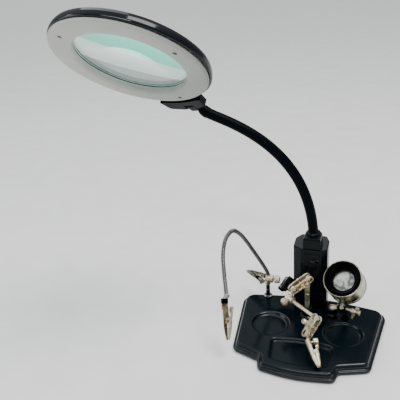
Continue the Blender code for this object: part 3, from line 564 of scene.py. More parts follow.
def plated_metal(name, pale, warm, smooth, rough, metallic=1):
    """Plated metal: patches of warmer wear, smudges in its gloss, and fine scratches."""
    look = Look(name, pale, rough, metallic)
    patches = look.spread(look.noise(170, 5, None, 0.6), 0, 1, 0.42, 0.66)
    look.set(Base_Color=look.tint(patches, pale, warm))
    look.set(Roughness=look.spread(look.noise(260, 4), smooth, rough))
    look.bump(look.noise(1, 3, look.stretched((900, 900, 5200))), 0.12, 0.00005)
    return look.material


def frosted_plastic():
    """Frosted white plastic, with painted shade that darkens it a little towards the gooseneck."""
    look = Look("frosted_plastic", (0.48, 0.49, 0.46), 0.46)
    cloud = look.spread(look.noise(45, 4), 0, 1, 0.3, 0.7)
    # The darker second tone is painted shade, blended in along object X plus Y towards the gooseneck side.
    unshaded_tone = look.tint(cloud, (0.4, 0.41, 0.385), (0.45, 0.46, 0.435))
    painted_shade_tone = look.tint(cloud, (0.25, 0.275, 0.245), (0.29, 0.315, 0.285))
    across = [look.node("SeparateXYZ", axis, look.place) for axis in "XY"]
    painted_shade_mask = look.spread(look.maths("ADD", *across), 0, 1, -0.19, -0.1)
    look.set(Base_Color=look.tint(painted_shade_mask, unshaded_tone, painted_shade_tone))
    look.set(Roughness=look.spread(look.noise(90, 3), 0.4, 0.54))
    look.bump(look.noise(2600, 2), 0.1, 0.00008)
    look.set(Subsurface_Weight=0.12, Subsurface_Scale=0.004)
    return look.material


def lens_glass():
    """Glass with faint smudges, and a painted green-blue glow inside it that builds up along its long inner
    paths.
    """
    look = Look("lens_glass", (0.97, 1, 0.995), 0)
    look.set(Transmission_Weight=1, IOR=1.52)
    look.set(Roughness=look.spread(look.noise(70, 5), 0, 0.03, 0.45, 0.8))
    # Painted glow: the emission inside the glass stands in for light, the lens itself gives none.
    inside = look.node("Emission", "Emission", Color=(0.25, 1, 0.75, 1), Strength=15)
    look.links.new(inside, look.nodes["Material Output"].inputs["Volume"])
    return look.material


def loupe_glass():
    """A small lens with painted reflections: cloudy grey and white sectors over half-clear glass."""
    look = Look("loupe_glass", (0.7, 0.71, 0.7), 0.1)
    # The grey and white sectors mixed in below are painted reflections.
    cloud = look.spread(look.noise(80, 2, None, 1.2), 0, 1, 0.42, 0.58)
    look.set(Base_Color=look.tint(cloud, (0.18, 0.19, 0.185), (0.84, 0.85, 0.83)))
    look.set(Roughness=look.spread(look.noise(300, 3), 0.05, 0.2))
    look.set(Transmission_Weight=0.45, IOR=1.5)
    return look.material


def ground_glass_edge():
    """The matt cut edge of the lens, with a painted green-blue glow seen through the glass."""
    look = Look("ground_glass_edge", (0.55, 0.93, 0.86), 0.6)
    look.set(
        Base_Color=look.tint(look.spread(look.noise(120, 4), 0, 1), (0.42, 0.86, 0.78), (0.74, 0.97, 0.93)))
    look.bump(look.noise(2200, 2), 0.2, 0.0001)
    # Painted glow: this emission stands in for light on the edge, which is no lamp.
    look.set(Emission_Color=(0.45, 0.9, 0.8, 1), Emission_Strength=0.25)
    return look.material


def foam_sheet():
    look = Look("foam", (0.03, 0.03, 0.03), 0.9)
    look.set(Base_Color=look.tint(look.spread(look.noise(500, 3), 0, 1), (0.02, 0.02, 0.021),
                                  (0.045, 0.045, 0.046)))
    look.bump(look.noise(1400, 3), 0.5, 0.0003)
    return look.material


def cell_jacket():
    look = Look("cell_jacket", (0.1, 0.22, 0.12), 0.35)
    bands = look.spread(look.noise(1, 0, look.stretched((0, 0, 70))), 0, 1, 0.48, 0.5)
    look.set(Base_Color=look.tint(bands, (0.06, 0.2, 0.1), (0.3, 0.28, 0.2)))
    look.bump(look.noise(600, 2), 0.05, 0.0001)
    return look.material


def circuit_board():
    look = Look("circuit_board", (0.8, 0.8, 0.78), 0.4)
    look.set(
        Base_Color=look.tint(look.spread(look.noise(300, 2), 0, 1), (0.74, 0.75, 0.73), (0.84, 0.84, 0.82)))
    look.bump(look.noise(900, 2), 0.1, 0.0001)
    return look.material


def make_looks():
    """Each look's material and its slot."""
    looks = {}
    for name, (slot, *settings) in BLACK_PLASTICS.items():
        looks[name] = (black_plastic(f"{name}_plastic", *settings), slot)
    for name, (slot, *settings) in PLATED_METALS.items():
        looks[name] = (plated_metal(f"{name}_metal", *settings), slot)
    looks["ground_edge"] = (ground_glass_edge(), "glass")
    looks["frost"] = (frosted_plastic(), "frosted_plastic")
    looks["board"] = (circuit_board(), "circuit_board")
    looks["glass"] = (lens_glass(), "glass")
    looks["loupe_glass"] = (loupe_glass(), "glass")
    looks["foam"] = (foam_sheet(), "foam")
    looks["cell"] = (cell_jacket(), "cell_jacket")
    return looks


LOOKS = make_looks()


# ---- Base --------------------------------------------------------
def make_base():
    outline = rounded(mirrored(OUTLINE_CORNERS), 12)
    shell = loft(stack(outline, RIM_PROFILE))
    cuts = []
    for x in (-DISH_X, DISH_X):
        cuts.append(moved(turned(DISH_PROFILE, 96), at(x, 0)))
    tray = list(reversed(rounded(mirrored(TRAY_CORNERS), 10)))
    cuts.append(loft(stack(tray, TRAY_PROFILE)))
    boss = spun([(6.4, DECK - 1.5), (6.4, DECK), (5.2, DECK + 0.8), (5, DOME_BOSS_TOP - 0.8),
                 (4.4, DOME_BOSS_TOP), (0.5, DOME_BOSS_TOP)], 0.7, 40, at(*DOME_PLACE))
    add("base_cover", shell, "black", "base", ["base_shell"], cuts, [boss])
    dome = spun([(0.5, 0.1), (4.4, 0.1), (4.4, 0.35), (3.4, 0.8), (1.8, 1.1), (0.05, 1.2)], 0.3, 40, steps=4)
    add("dome_head", moved(dome, at(*DOME_PLACE, DOME_BOSS_TOP)), "nickel", "base", ["dome_screw"])


# ---- Column ------------------------------------------------------
def column_outline(wall=0):
    """The column's outline, or that of the hollow inside its wall."""
    corners = []
    for side, half in ((1, COLUMN_RIGHT), (-1, COLUMN_LEFT)):
        for x, y, radius in half:
            inner = y + COLUMN_Y - math.copysign(wall, y)
            corners.append((side * (x - wall * 0.9), inner, max(radius - wall, 0.3)))
    return rounded(corners, 5)


def make_column():
    outline = column_outline()
    foot = DECK + 0.05
    profile = [
        (-0.9, foot), (-0.75, foot + 0.5), (-0.3, foot + 1), (0, foot + 1.6), (0, COLUMN_TOP - 1.6),
        (0.12, COLUMN_TOP - 0.8), (0.4, COLUMN_TOP - 0.3), (0.8, COLUMN_TOP - 0.06), (1.3, COLUMN_TOP)]
    back = COLUMN_Y + COLUMN_LEFT[0][1]
    front = COLUMN_Y + COLUMN_RIGHT[0][1]
    rings = stack(outline, profile)
    for point in [p for ring in rings for p in ring if p.z > DECK + 10]:
        point.z += COLUMN_SLOPE * (point.y - front)
    window = block((-WINDOW_HALF, back - 6, WINDOW_BOTTOM), (WINDOW_HALF, back + 6, WINDOW_TOP), 0, 0)
    slot = block((SWITCH_X - 4.6, 20, SWITCH_Z - 1.5), (SWITCH_X + 4.6, COLUMN_Y - 8, SWITCH_Z + 1.5), 0.4, 0)
    hollow = loft(stack(column_outline(COLUMN_WALL), [(0, DECK - 2), (0, COLUMN_TOP - 3)]))
    panel = moved(
        slab(rounded([(-8, 12, 1.2), (8, 12, 1.2), (8, COLUMN_TOP - 0.2, 0.6), (-8, COLUMN_TOP - 0.2, 0.6)],
                     4), -1.2, 0.55, 0.35), frame_at((0, front, 0), (0, -1, 0)))
    ridges = []
    for low, high, height in ((-7.6, 7.6, COLUMN_TOP - 4.4), (1.5, 7.6, COLUMN_TOP - 9.4)):
        ridges.append(block((low, front - 1.15, height - 0.45), (high, front + 0.5, height + 0.45), 0.3, 0.3))
    add("column_body", loft(rings), "column", "base", ["column_housing"], [hollow, window, slot],
        [panel, *ridges])
    half, low, high = WINDOW_HALF - 0.25, WINDOW_BOTTOM + 0.25, WINDOW_TOP - 0.25
    cover_outline = rounded([(-half, low, 0.8), (half, low, 0.8), (half, high, 0.8), (-half, high, 0.8)], 4)
    to_back = frame_at((0, back, 0), (0, 1, 0), (-1, 0, 0))
    cover = moved(slab(cover_outline, -COLUMN_WALL + 0.3, 0, 0.25), to_back)
    ribs = []
    for i in range(5):
        height = WINDOW_TOP - 6 - i * 1.8
        ribs.append(moved(block((-4.5, height - 0.45, -0.5), (4.5, height + 0.45, 0.5), 0.25, 0.4), to_back))
    add("battery_door", cover, "black", "cover", ["battery_cover"], [], ribs)
    slider_x = SWITCH_X - SWITCH_TRAVEL / 2
    knob = block((slider_x - 2.4, front - 1.5, SWITCH_Z - 1.15),
                 (slider_x + 2.4, front + 2, SWITCH_Z + 1.15), 0.3, 0.3)
    grooves = []
    for i in range(4):
        x = slider_x - 1.5 + i
        grooves.append(
            block((x - 0.18, front - 2.2, SWITCH_Z - 2), (x + 0.18, front - 1.2, SWITCH_Z + 2), 0, 0))
    add("switch_button", knob, "gloss", "slider", ["switch_slider"], grooves)


def make_neck_socket():
    """The block that the gooseneck stands in, flush with the column's front."""
    front = COLUMN_Y + COLUMN_RIGHT[0][1] + 0.1
    corners = [(-SOCKET_HALF, front, 1), (SOCKET_HALF, front, 1), (SOCKET_HALF, COLUMN_Y + 7.5, 6),
               (-SOCKET_HALF, COLUMN_Y + 7.5, 6)]
    outline = rounded(corners, 6)
    foot = COLUMN_TOP + 0.05
    profile = [
        (0.6, foot), (0.6, foot + 0.45), (0, foot + 0.75), (0, SOCKET_TOP - 2.6), (0.1, SOCKET_TOP - 1.6),
        (0.4, SOCKET_TOP - 0.8), (0.7, SOCKET_TOP - 0.35), (0.95, SOCKET_TOP)]
    collar = spun(
        [(0.5, SOCKET_TOP - 2), (7.4, SOCKET_TOP - 2), (7.2, SOCKET_TOP + 1.2), (6.4, SOCKET_TOP + 2.2),
         (NECK_RADIUS + 0.2, SOCKET_TOP + 2.6), (0.5, SOCKET_TOP + 2.6)], 0.6, 48)
    add("neck_block", loft(stack(outline, profile)), "column", "base", ["neck_socket"], [],
        [moved(collar, at(0, COLUMN_Y))])


def make_side_knob():
    """A four-lobed knob on a stud that slants up and away from the column."""
    lobes = []
    for i in range(96):
        angle = math.tau * i / 96
        radius = 8.3 + 2 * math.cos(4 * angle)
        lobes.append(Vector((radius * math.cos(angle), radius * math.sin(angle))))
    place = frame_at(KNOB_AT, KNOB_AXIS, (0, 0, 1))
    profile = [(1.6, 0), (0.5, 0.2), (0.1, 0.8), (0, 1.6), (0, 5.6), (0.2, 6.3), (0.8, 6.8), (1.8, 7)]
    stud = spun([(0.3, -7.6), (2, -7.6), (2, -4.6), (4.2, -4.6), (4.2, 0.5), (0.3, 0.5)], 0.4, 32)
    cap = spun([(3.4, 5.8), (3.4, 8.2), (0.3, 8.2)], 0.5, 32, place)
    add("side_knob_grip", moved(loft(stack(lobes, profile)), place), "column", "knob", ["side_knob"], [cap],
        [moved(stud, place)])
    add("side_knob_insert", spun([(0.2, 5.9), (3.1, 5.9), (3.1, 6.3), (0.2, 6.3)], 0.2, 28, place), "steel",
        "knob")


# ---- Gooseneck and flexible arm ----------------------------------
def bezier(controls, t):
    a, b, c, d = controls
    s = 1 - t
    return a * s ** 3 + b * 3 * s * s * t + c * 3 * s * t * t + d * t ** 3


def lengths_along(points):
    lengths = [0]
    for a, b in zip(points, points[1:]):
        lengths.append(lengths[-1] + (b - a).length)
    return lengths


def stretch(points, start, end, count):
    """count points evenly spaced along a polyline between two shares of its length."""
    lengths = lengths_along(points)
    result = []
    k = 0
    for i in range(count):
        target = lengths[-1] * (start + (end - start) * i / (count - 1))
        while k < len(points) - 2 and lengths[k + 1] < target:
            k += 1
        share = (target - lengths[k]) / (lengths[k + 1] - lengths[k])
        result.append(points[k].lerp(points[k + 1], share))
    return result


def neck_path():
    controls = []
    for out, height in NECK_CURVE:
        controls.append(Vector((NECK_PLANE[0] * out, COLUMN_Y + NECK_PLANE[1] * out, height)))
    fine = [bezier(controls, i / 200) for i in range(201)]
    above = [p for p in fine if p.z > NECK_FOOT]
    return [Vector((0, COLUMN_Y, NECK_FOOT))] + above


def smooth_route(points, steps):
    """A Catmull-Rom curve through the given points."""
    ends = [points[0] * 2 - points[1]] + points + [points[-1] * 2 - points[-2]]
    curve = []
    for i in range(len(points) - 1):
        a, b, c, d = ends[i:i + 4]
        for k in range(steps):
            t = k / steps
            bow = 2 * a - 5 * b + 4 * c - d
            twist = 3 * b - 3 * c + d - a
            curve.append(0.5 * (2 * b + (c - a) * t + bow * t * t + twist * t ** 3))
    curve.append(points[-1])
    return curve


def bending_bar(name, look, path, bodies, nodes, radius_at, spacing, sides):
    """A bar along rigid lengths, split at each length's middle; only its two end pieces are attached to
    bodies.
    """
    segments = len(bodies)
    total = lengths_along(path)[-1]
    cuts = [0] + [(i + 0.5) / segments for i in range(segments)] + [1]
    for i in range(segments + 1):
        start, end = cuts[i], cuts[i + 1]
        count = max(8, int(round((end - start) * total / spacing)) + 1)
        points = stretch(path, start, end, count)
        radii = [radius_at(total * (start + (end - start) * k / (count - 1))) for k in range(count)]
        piece = raw_object(f"{name}_{i + 1}", swept(points, radii, sides))
        shade(piece, BAR_ANGLE)
        body = bodies[min(i, segments - 1)]
        place_piece(piece, look, body if i in (0, segments) else None, [nodes[i]] if i < segments else ())
        if 0 < i < segments:
            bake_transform(piece)


def neck_radius(_distance):
    return NECK_RADIUS


def hose_radius(distance):
    """Wound strip: a shallow round rib for each turn."""
    return HOSE_RADIUS - RIB_DEPTH * (1 - math.cos(math.tau * distance / RIB_PITCH))


def make_bars():
    numbers = range(1, 5)
    bending_bar("neck_sleeve", "neck", neck_path(), [f"neck_{i}" for i in numbers],
                [f"neck_segment_{i}" for i in numbers], neck_radius, 1.6, 40)
    numbers = range(1, 4)
    bending_bar("flexible_arm", "hose", smooth_route([vec(p) for p in HOSE_ROUTE], 12),
                [f"hose_{i}" for i in numbers], [f"hose_segment_{i}" for i in numbers], hose_radius,
                RIB_PITCH / 6, 20)


# ---- Lamp head ---------------------------------------------------
def head_frame():
    return frame_at(HEAD_CENTRE, HEAD_UP, HEAD_TO_NECK)


def make_head():
    place = head_frame()
    r, o = HEAD_RADIUS, HEAD_OPENING
    pin = place @ Vector((TILT_PIN_OUT, 0, TILT_PIN_UP))
    side = place.to_3x3().col[1].copy()
    shell = spun([(r - 0.3, 1.3), (r - 0.1, 3.2), (r - 0.5, 6), (r - 1.8, 8.8), (r - 5, 10.5),
                  (o + 4.5, 10.5), (o + 1.2, 9.3), (o + 1.2, 6.8), (o + 3.2, 6.8), (o + 3.2, 8.1),
                  (r - 5.4, 8.5), (r - 3.4, 7), (r - 2.7, 4), (r - 2.7, 1.3)], 1.2, 128, closed=True)
    lug = slab(rounded(LUG_CORNERS, 4), -2.2, 4.4, 0.7)
    tool = [(r + 0.35, -6), (r + 0.35, 1.7), (r - 2.6, 1.7), (r - 2.6, 9)]
    slot = block(
        (75.5, TONGUE_Y - TONGUE_HALF - SLOT_PLAY, -8), (90, TONGUE_Y + TONGUE_HALF + SLOT_PLAY, 9), 0, 0)
    add("lamp_housing", moved(shell, place), "gloss", "head", ["head_shell"])
    add("hinge_lug", moved(lug, place), "neck", "head", [],
        [moved(turned(tool, 128), place), moved(slot, place), rod(1.35, -30, 30, frame_at(pin, side))])
    e = r - RING_INSET
    ring = spun(
        [(e - 5, -2.35), (e - 1.7, -1.7), (e - 0.3, -0.1), (e - 0.3, 1.1), (e - 2.9, 1.1), (e - 2.9, 0.2),
         (o + 4.4, 0.2), (o + 4, 3.3), (o + 1.7, 3.3), (o + 1.7, 1), (o + 2.8, -1.2), (o + 5.4, -2.3),
         (0.5 * (e + o) + 1, -2.6)], 1.4, 128, steps=4, closed=True)
    ring_mesh = ring
    for vertex in ring_mesh.verts:
        if math.hypot(vertex.co.x, vertex.co.y) > 0.5 * (e + o):
            vertex.co.y += RING_SHIFT
    seats = []
    for angle in HEAD_SCREW_ANGLES:
        a = math.radians(angle)
        seats.append(place @ at(HEAD_SCREW_CIRCLE * math.cos(a), HEAD_SCREW_CIRCLE * math.sin(a)))
    wells = [rod(1.9, -4, 3, seat) for seat in seats]
    add("light_ring", moved(ring_mesh, place), "frost", "head", ["diffuser_ring"], wells)
    for i, seat in enumerate(seats):
        screw = spun([(0.1, -2), (1.2, -1.9), (1.65, -1.3), (1.65, -0.5), (0.9, -0.4), (0.9, 1.9),
                      (0.1, 1.9)], 0.2, 24)
        cross = [block((-a, -b, -3), (a, b, -1.5), 0, 0) for a, b in ((1.3, 0.22), (0.22, 1.3))]
        add(f"ring_screw_{i + 1}", moved(screw, seat), "steel", "head", [f"head_screw_{i + 1}"],
            [moved(c, seat) for c in cross])
    make_lens(place)
    make_bracket(place, pin, side)


def make_lens(place):
    steps = 16
    under = []
    for i in range(steps + 1):
        share = max(i / steps, 0.004)
        under.append((LENS_RADIUS * share, -LENS_BULGE * (1 - share * share)))
    top = [(radius, LENS_EDGE - height) for radius, height in reversed(under)]
    seat = place @ at(0, 0, LENS_HEIGHT)
    add("magnifier", moved(turned(under + top, 128), seat), "glass", "head", ["lens"])
    edge = [(LENS_RADIUS + 0.06, 0), (LENS_RADIUS + 0.5, 0), (LENS_RADIUS + 0.5, LENS_EDGE),
            (LENS_RADIUS + 0.06, LENS_EDGE)]
    add("magnifier_edge", moved(turned(edge, 128, closed=True), seat), "ground_edge", "head")


def make_bracket(place, pin, side):
    """Tongue with a ferrule on the gooseneck's end, and the pin that the head tilts on."""
    path = neck_path()
    neck_end = path[-1]
    neck_direction = path[-1] - path[-3]
    tongue = rounded([(TILT_PIN_OUT - 3, -1.9, 2), (TILT_PIN_OUT + 7.6, -1.9, 1.2),
                      (TILT_PIN_OUT + 7.6, 4.1, 1.2), (TILT_PIN_OUT - 3, 4.1, 2.4)], 5)
    to_side = place @ quarter("X")
    low = -(TONGUE_Y + TONGUE_HALF)
    high = -(TONGUE_Y - TONGUE_HALF)
    ferrule = spun(
        [(0.5, -3), (5.2, -3), (5.4, -2.2), (5.2, 2.4), (4.4, 4.8), (3.2, 6.6), (0.5, 6.6)], 0.8, 40)
    add("neck_bracket", moved(slab(tongue, low, high, 0.5), to_side), "neck", "neck_4", ["head_bracket"],
        [], [moved(ferrule, frame_at(neck_end, neck_direction))])
    axle = spun([(0.1, -PIN_REACH), (1.2, -PIN_REACH), (1.2, PIN_REACH), (0.1, PIN_REACH)], 0.3, 24)
    add("tilt_axle", moved(axle, frame_at(pin, side)), "steel", "neck_4", ["tilt_pin"])


# ---- Alligator clips ---------------------------------------------
def channel_ring(x, half_width, roof, edge, corner):
    """Cross-section of a folded sheet channel, its two roof corners rounded."""
    step = 1 if roof > edge else -1
    corner = min(corner, half_width * 0.8, abs(roof - edge) * 0.6)
    outer = [(-half_width, edge)]
    inner = []
    for sign in (-1, 1):
        for k in range(5):
            angle = math.pi / 2 * (k / 4 if sign < 0 else 1 - k / 4)
            y = sign * (half_width - corner + corner * math.cos(angle))
            z = roof - step * (corner - corner * math.sin(angle))
            outer.append((y, z))
            reduced = max(corner - SHEET, 0.05)
            y = sign * (half_width - SHEET - reduced + reduced * math.cos(angle))
            z = roof - step * (SHEET + reduced - reduced * math.sin(angle))
            inner.append((y, z))
    outer.append((half_width, edge))
    inner = [(-half_width + SHEET, edge)] + inner + [(half_width - SHEET, edge)]
    return [Vector((x, y, z)) for y, z in outer + list(reversed(inner))]


def blended_stations(stations, spacing):
    """Stations along a clip, eased between the given ones."""
    result = []
    for a, b in zip(stations, stations[1:]):
        count = max(1, int(abs(b[0] - a[0]) / spacing))
        for k in range(count):
            t = k / count
            result.append(tuple(p + (q - p) * t for p, q in zip(a, b)))
    result.append(stations[-1])
    return result


JAW_STATIONS = [  # along the clip, half width, roof, edge
    (16, 1.1, 1.3, 0.1),
    (11.5, 1.7, 2.3, 0.35),
    (5, 2.7, 3.3, 0.5),
    (2.4, 3.2, 3.5, 0.3),
    (1.8, 3.25, 3.55, -1.5),
    (-2, 3.25, 3.7, -1.5),
    (-2.8, 3.25, 3.85, 1.6),
    (-4.2, 3.3, 4.2, 2.9),
]
LEVERS = {
    1: [(-5.8, 3.4, 4.7, 2.4), (-7.2, 3.8, 5.4, 3.6)],
    2: [(-9, 3.4, 6.2, 5.3), (-11.4, 3.9, 8.1, 7.3)],
    3: [(-8.6, 3.6, 4.6, 1.6), (-11.4, 3.9, 5.2, 2.6)],
}
CLIP_HEIGHTS = {1: 1.25, 2: 1.1, 3: 1.1}
BODY_WALL_RISE = {1: 0, 2: 0, 3: 1.9}
BODY_STATIONS = [
    (16, 1.1, -1.3, -0.1), (11.5, 1.7, -2.3, -0.35), (6, 2.2, -3, -0.4), (2.6, 2.35, -3.2, -0.2),
    (2, 2.35, -3.2, 1.3), (-2.2, 2.35, -3.3, 1.3), (-3, 2.35, -3.35, -0.4), (-11, 2.35, -3.6, -0.8)]
TEETH_FROM = 6
TEETH_TO = 15.6
TOOTH_PITCH = 1.2


def tooth_row(sign):
    """Small wedges along a jaw's two edges."""
    teeth = []
    for i in range(int((TEETH_TO - TEETH_FROM) / TOOTH_PITCH)):
        x = TEETH_FROM + (i + 0.5) * TOOTH_PITCH
        for side in (-1, 1):
            y = side * (jaw_half_width(x) - SHEET / 2)
            rings = []
            for half, z in ((0.5, 0.6), (0.08, 0.05)):
                corners = ((-half, -SHEET), (half, -SHEET), (half, SHEET), (-half, SHEET))
                rings.append([Vector((x + along, y + across / 2, sign * z)) for along, across in corners])
            teeth.append(loft(rings))
    return merged(*teeth)


def clip_frame(root, tip, up, jaw_length):
    """Local +X runs along the clip to its tip and +Z to the lever side; origin on the pivot."""
    along = (vec(tip) - vec(root)).normalized()
    pivot = vec(tip) - along * jaw_length
    z = vec(up) - along * vec(up).dot(along)
    z.normalize()
    y = z.cross(along)
    turn = Matrix((along, y, z)).transposed().to_4x4()
    return Matrix.Translation(pivot) @ turn


def jaw_half_width(x):
    """Half the width of a jaw's mouth, which tapers a little faster past its middle."""
    middle, width = JAW_STATIONS[1][:2]
    return width + (middle - x) * (0.12 if x < middle else 0.13)


def make_clip(number, root, tip, up, scale, tail, body_look, jaw_look, stem=()):
    """A fixed jaw with its barrel and pivot pin, a moving jaw with its lever, and the spring between them."""
    place = clip_frame(root, tip, up, 16 * scale) @ Matrix.Scale(scale, 4)
    body = f"clip_{number}"
    height = CLIP_HEIGHTS[number]
    channel = []
    for x, half, roof, edge in blended_stations(BODY_STATIONS, 1.2):
        rise = BODY_WALL_RISE[number] if x < -2.2 else 0
        channel.append(channel_ring(x, half, roof * height, edge + rise, 1.5))
    barrel_place = place @ at(0, 0, BARREL_DROP) @ Matrix.Rotation(-math.pi / 2, 4, "Y")
    barrel = spun(
        [(0.3, 9), (2.2, 9), (2.75, 9.9), (2.75, tail - 2.4), (2.5, tail - 2.2), (2.5, tail - 1.6),
         (2.75, tail - 1.4), (2.75, tail - 0.4), (2.2, tail), (0.3, tail)], 0.35, 36)
    pin_place = place @ quarter("X")
    pin = spun([(0.1, -4.1), (1.35, -4.1), (1.35, -3.6), (0.8, -3.55), (0.8, 3.55), (1.35, 3.6),
                (1.35, 4.1), (0.1, 4.1)], 0.2, 24)
    add(f"clip_{number}_lower", moved(loft(channel), place), body_look, body, [f"clip_{number}_body"], [],
        [moved(barrel, barrel_place), moved(pin, pin_place), *stem])
    add(f"clip_{number}_lower_teeth", moved(tooth_row(-1), place), body_look, body)
    jaw = []
    for x, half, roof, edge in blended_stations(JAW_STATIONS + LEVERS[number], 1):
        jaw.append(channel_ring(x, half, roof * height, edge, 1.6))
    add(f"clip_{number}_upper", moved(loft(jaw), place), jaw_look, f"clip_{number}_mouth",
        [f"clip_{number}_jaw"], [rod(1.1, -6, 6, pin_place)])
    add(f"clip_{number}_upper_teeth", moved(tooth_row(1), place), jaw_look, f"clip_{number}_mouth")
    coil = [Vector((-5, -1.2, -1.7))]
    for i in range(49):
        angle = math.tau * i / 16
        coil.append(Vector((1.5 * math.cos(angle), -1.2 + 2.4 * i / 48, 1.5 * math.sin(angle))))
    coil.append(Vector((-3.6, 1.2, 1.5)))
    add(f"clip_{number}_spring", moved(swept(coil, [0.28] * len(coil), 8), place), "steel", body)


# ---- Left post ---------------------------------------------------
def knurled(profile_low, profile_high, radius, height_low, height_high, ridges=22, depth=0.28):
    """A knurled drum between two heights, with plain turned ends."""
    def ring(r, z, waved):
        points = []
        count = ridges * 4
        for i in range(count):
            angle = math.tau * i / count
            swing = depth * (0.5 + 0.5 * math.cos(ridges * angle)) if waved else 0
            points.append(Vector(((r - swing) * math.cos(angle), (r - swing) * math.sin(angle), z)))
        return points
    rings = [ring(r, z, False) for r, z in profile_low]
    rings += [ring(radius - 0.35, height_low, False), ring(radius, height_low + 0.35, True),
              ring(radius, height_high - 0.35, True), ring(radius - 0.35, height_high, False)]
    rings += [ring(r, z, False) for r, z in profile_high]
    return loft(rings)


def make_left_post():
    x, y = LEFT_POST
    post = spun([(0.3, DECK + 0.05), (4.6, DECK + 0.05), (4.6, DECK + 1.3), (2.6, DECK + 1.5),
                 (2.3, DECK + 4), (2.3, 17.4), (1.9, 17.7), (1.9, 18.5), (2.3, 18.8), (2.3, 24.4),
                 (1.4, 24.8), (1.4, 27.2), (0.3, 27.2)], 0.35, 40)
    add("chrome_post", moved(post, at(x, y)), "dark_chrome", "base", ["left_post"])
    across = frame_at(LEFT_BLOCK, (1, 0, 0), (0, 0, 1))
    drum = spun([(0.3, -3.4), (3.6, -3.4), (4.3, -2.6), (4.3, -0.9), (3.8, -0.6), (3.8, 0), (4.3, 0.3),
                 (4.3, 2.2), (3.6, 3), (0.3, 3)], 0.4, 40)
    collar = spun([(0.3, 25.2), (3.3, 25.2), (3.3, 29), (0.3, 29)], 0.4, 36, at(x, y))
    ferrule = spun([(0.3, 29.9), (2.7, 29.9), (2.7, 34.6), (2.3, 35.4), (0.3, 35.4)], 0.4, 32, at(-46.8, y))
    add("left_hub", moved(drum, across), "nickel", "left_swivel", ["left_block"],
        [rod(1.65, 24, 27.6, at(x, y))], [collar, ferrule])
    screw = knurled([(0.3, 3.3), (2, 3.3), (2.2, 4.1)], [(3, 9.9), (1.6, 10.1), (0.3, 10.2)], 4.2, 4.3, 9.4)
    add("left_thumb_nut", moved(screw, across), "nickel", "left_screw", ["left_thumb_screw"])


# ---- Front arm ---------------------------------------------------
def make_front_post():
    x, y = FRONT_POST
    foot = at(x, y)
    bore = FRONT_POST_RADIUS + 0.25
    socket = spun([(7, DECK + 0.05), (7, DECK + 1.4), (5.3, DECK + 2.6), (4.8, 20), (4.1, 21), (bore, 21),
                   (bore, DECK + 0.05)], 0.5, 40, closed=True)
    add("post_boot", moved(socket, foot), "black", "base", ["front_socket"])
    thick = FRONT_POST_RADIUS
    upright = spun([(0.2, DECK + 1.2), (thick, DECK + 1.2), (thick, 35.6), (1.8, 36), (1.8, 36.9),
                    (thick, 37.3), (thick, 47.6), (1.3, 49.4), (1.3, 52), (0.2, 52)], 0.3, 32)
    add("arm_post", moved(upright, foot), "nickel", "post", ["front_post"], [], [ball(BALL_A)])


def clamp_frame(first, second, normal):
    """Origin midway between two balls, +X towards the second, +Z along the clamp screw."""
    middle = (vec(first) + vec(second)) / 2
    along = vec(second) - vec(first)
    z = vec(normal) - along * (vec(normal).dot(along) / along.length_squared)
    return frame_at(middle, z, along)


def make_clamp(name, body, first, second, normal):
    """Two oblong plates with pressed rims that pinch a ball at each end."""
    place = clamp_frame(first, second, normal)
    reach = (vec(second) - vec(first)).length / 2
    half = PLATE_HALF_WIDTH
    length = reach + half
    corners = ((-length, -half), (length, -half), (length, half), (-length, half))
    outline = rounded([(x, y, half - 0.1) for x, y in corners], 10)
    for side in (1, 2):
        seat = place @ Matrix.Rotation(math.pi * (side - 1), 4, "X")
        plate = slab(outline, PLATE_GAP, PLATE_GAP + PLATE_THICKNESS, 0.25)
        cuts = []
        for spot, radius in ((-reach, 2.3), (reach, 2.3), (0, 1.6)):
            hole = [
                (radius + 0.5, 0), (radius + 0.5, PLATE_GAP + 0.1), (radius, PLATE_GAP + 0.5), (radius, 8)]
            cuts.append(moved(turned(hole, 28), seat @ at(spot, 0)))
        rims = []
        for spot in (-reach, reach):
            lip = soften([(2.3, PLATE_GAP + 0.8), (3.1, PLATE_GAP + 0.8), (2.9, PLATE_GAP + 1.5),
                          (2.3, PLATE_GAP + 1.6)], 0.3, 3, closed=True)
            rims.append(moved(turned(lip, 28, closed=True), seat @ at(spot, 0)))
        add(f"{name}_clamp_{side}", moved(plate, seat), "nickel", body, [f"{name}_plate_{side}"], cuts,
            rims)
    return place


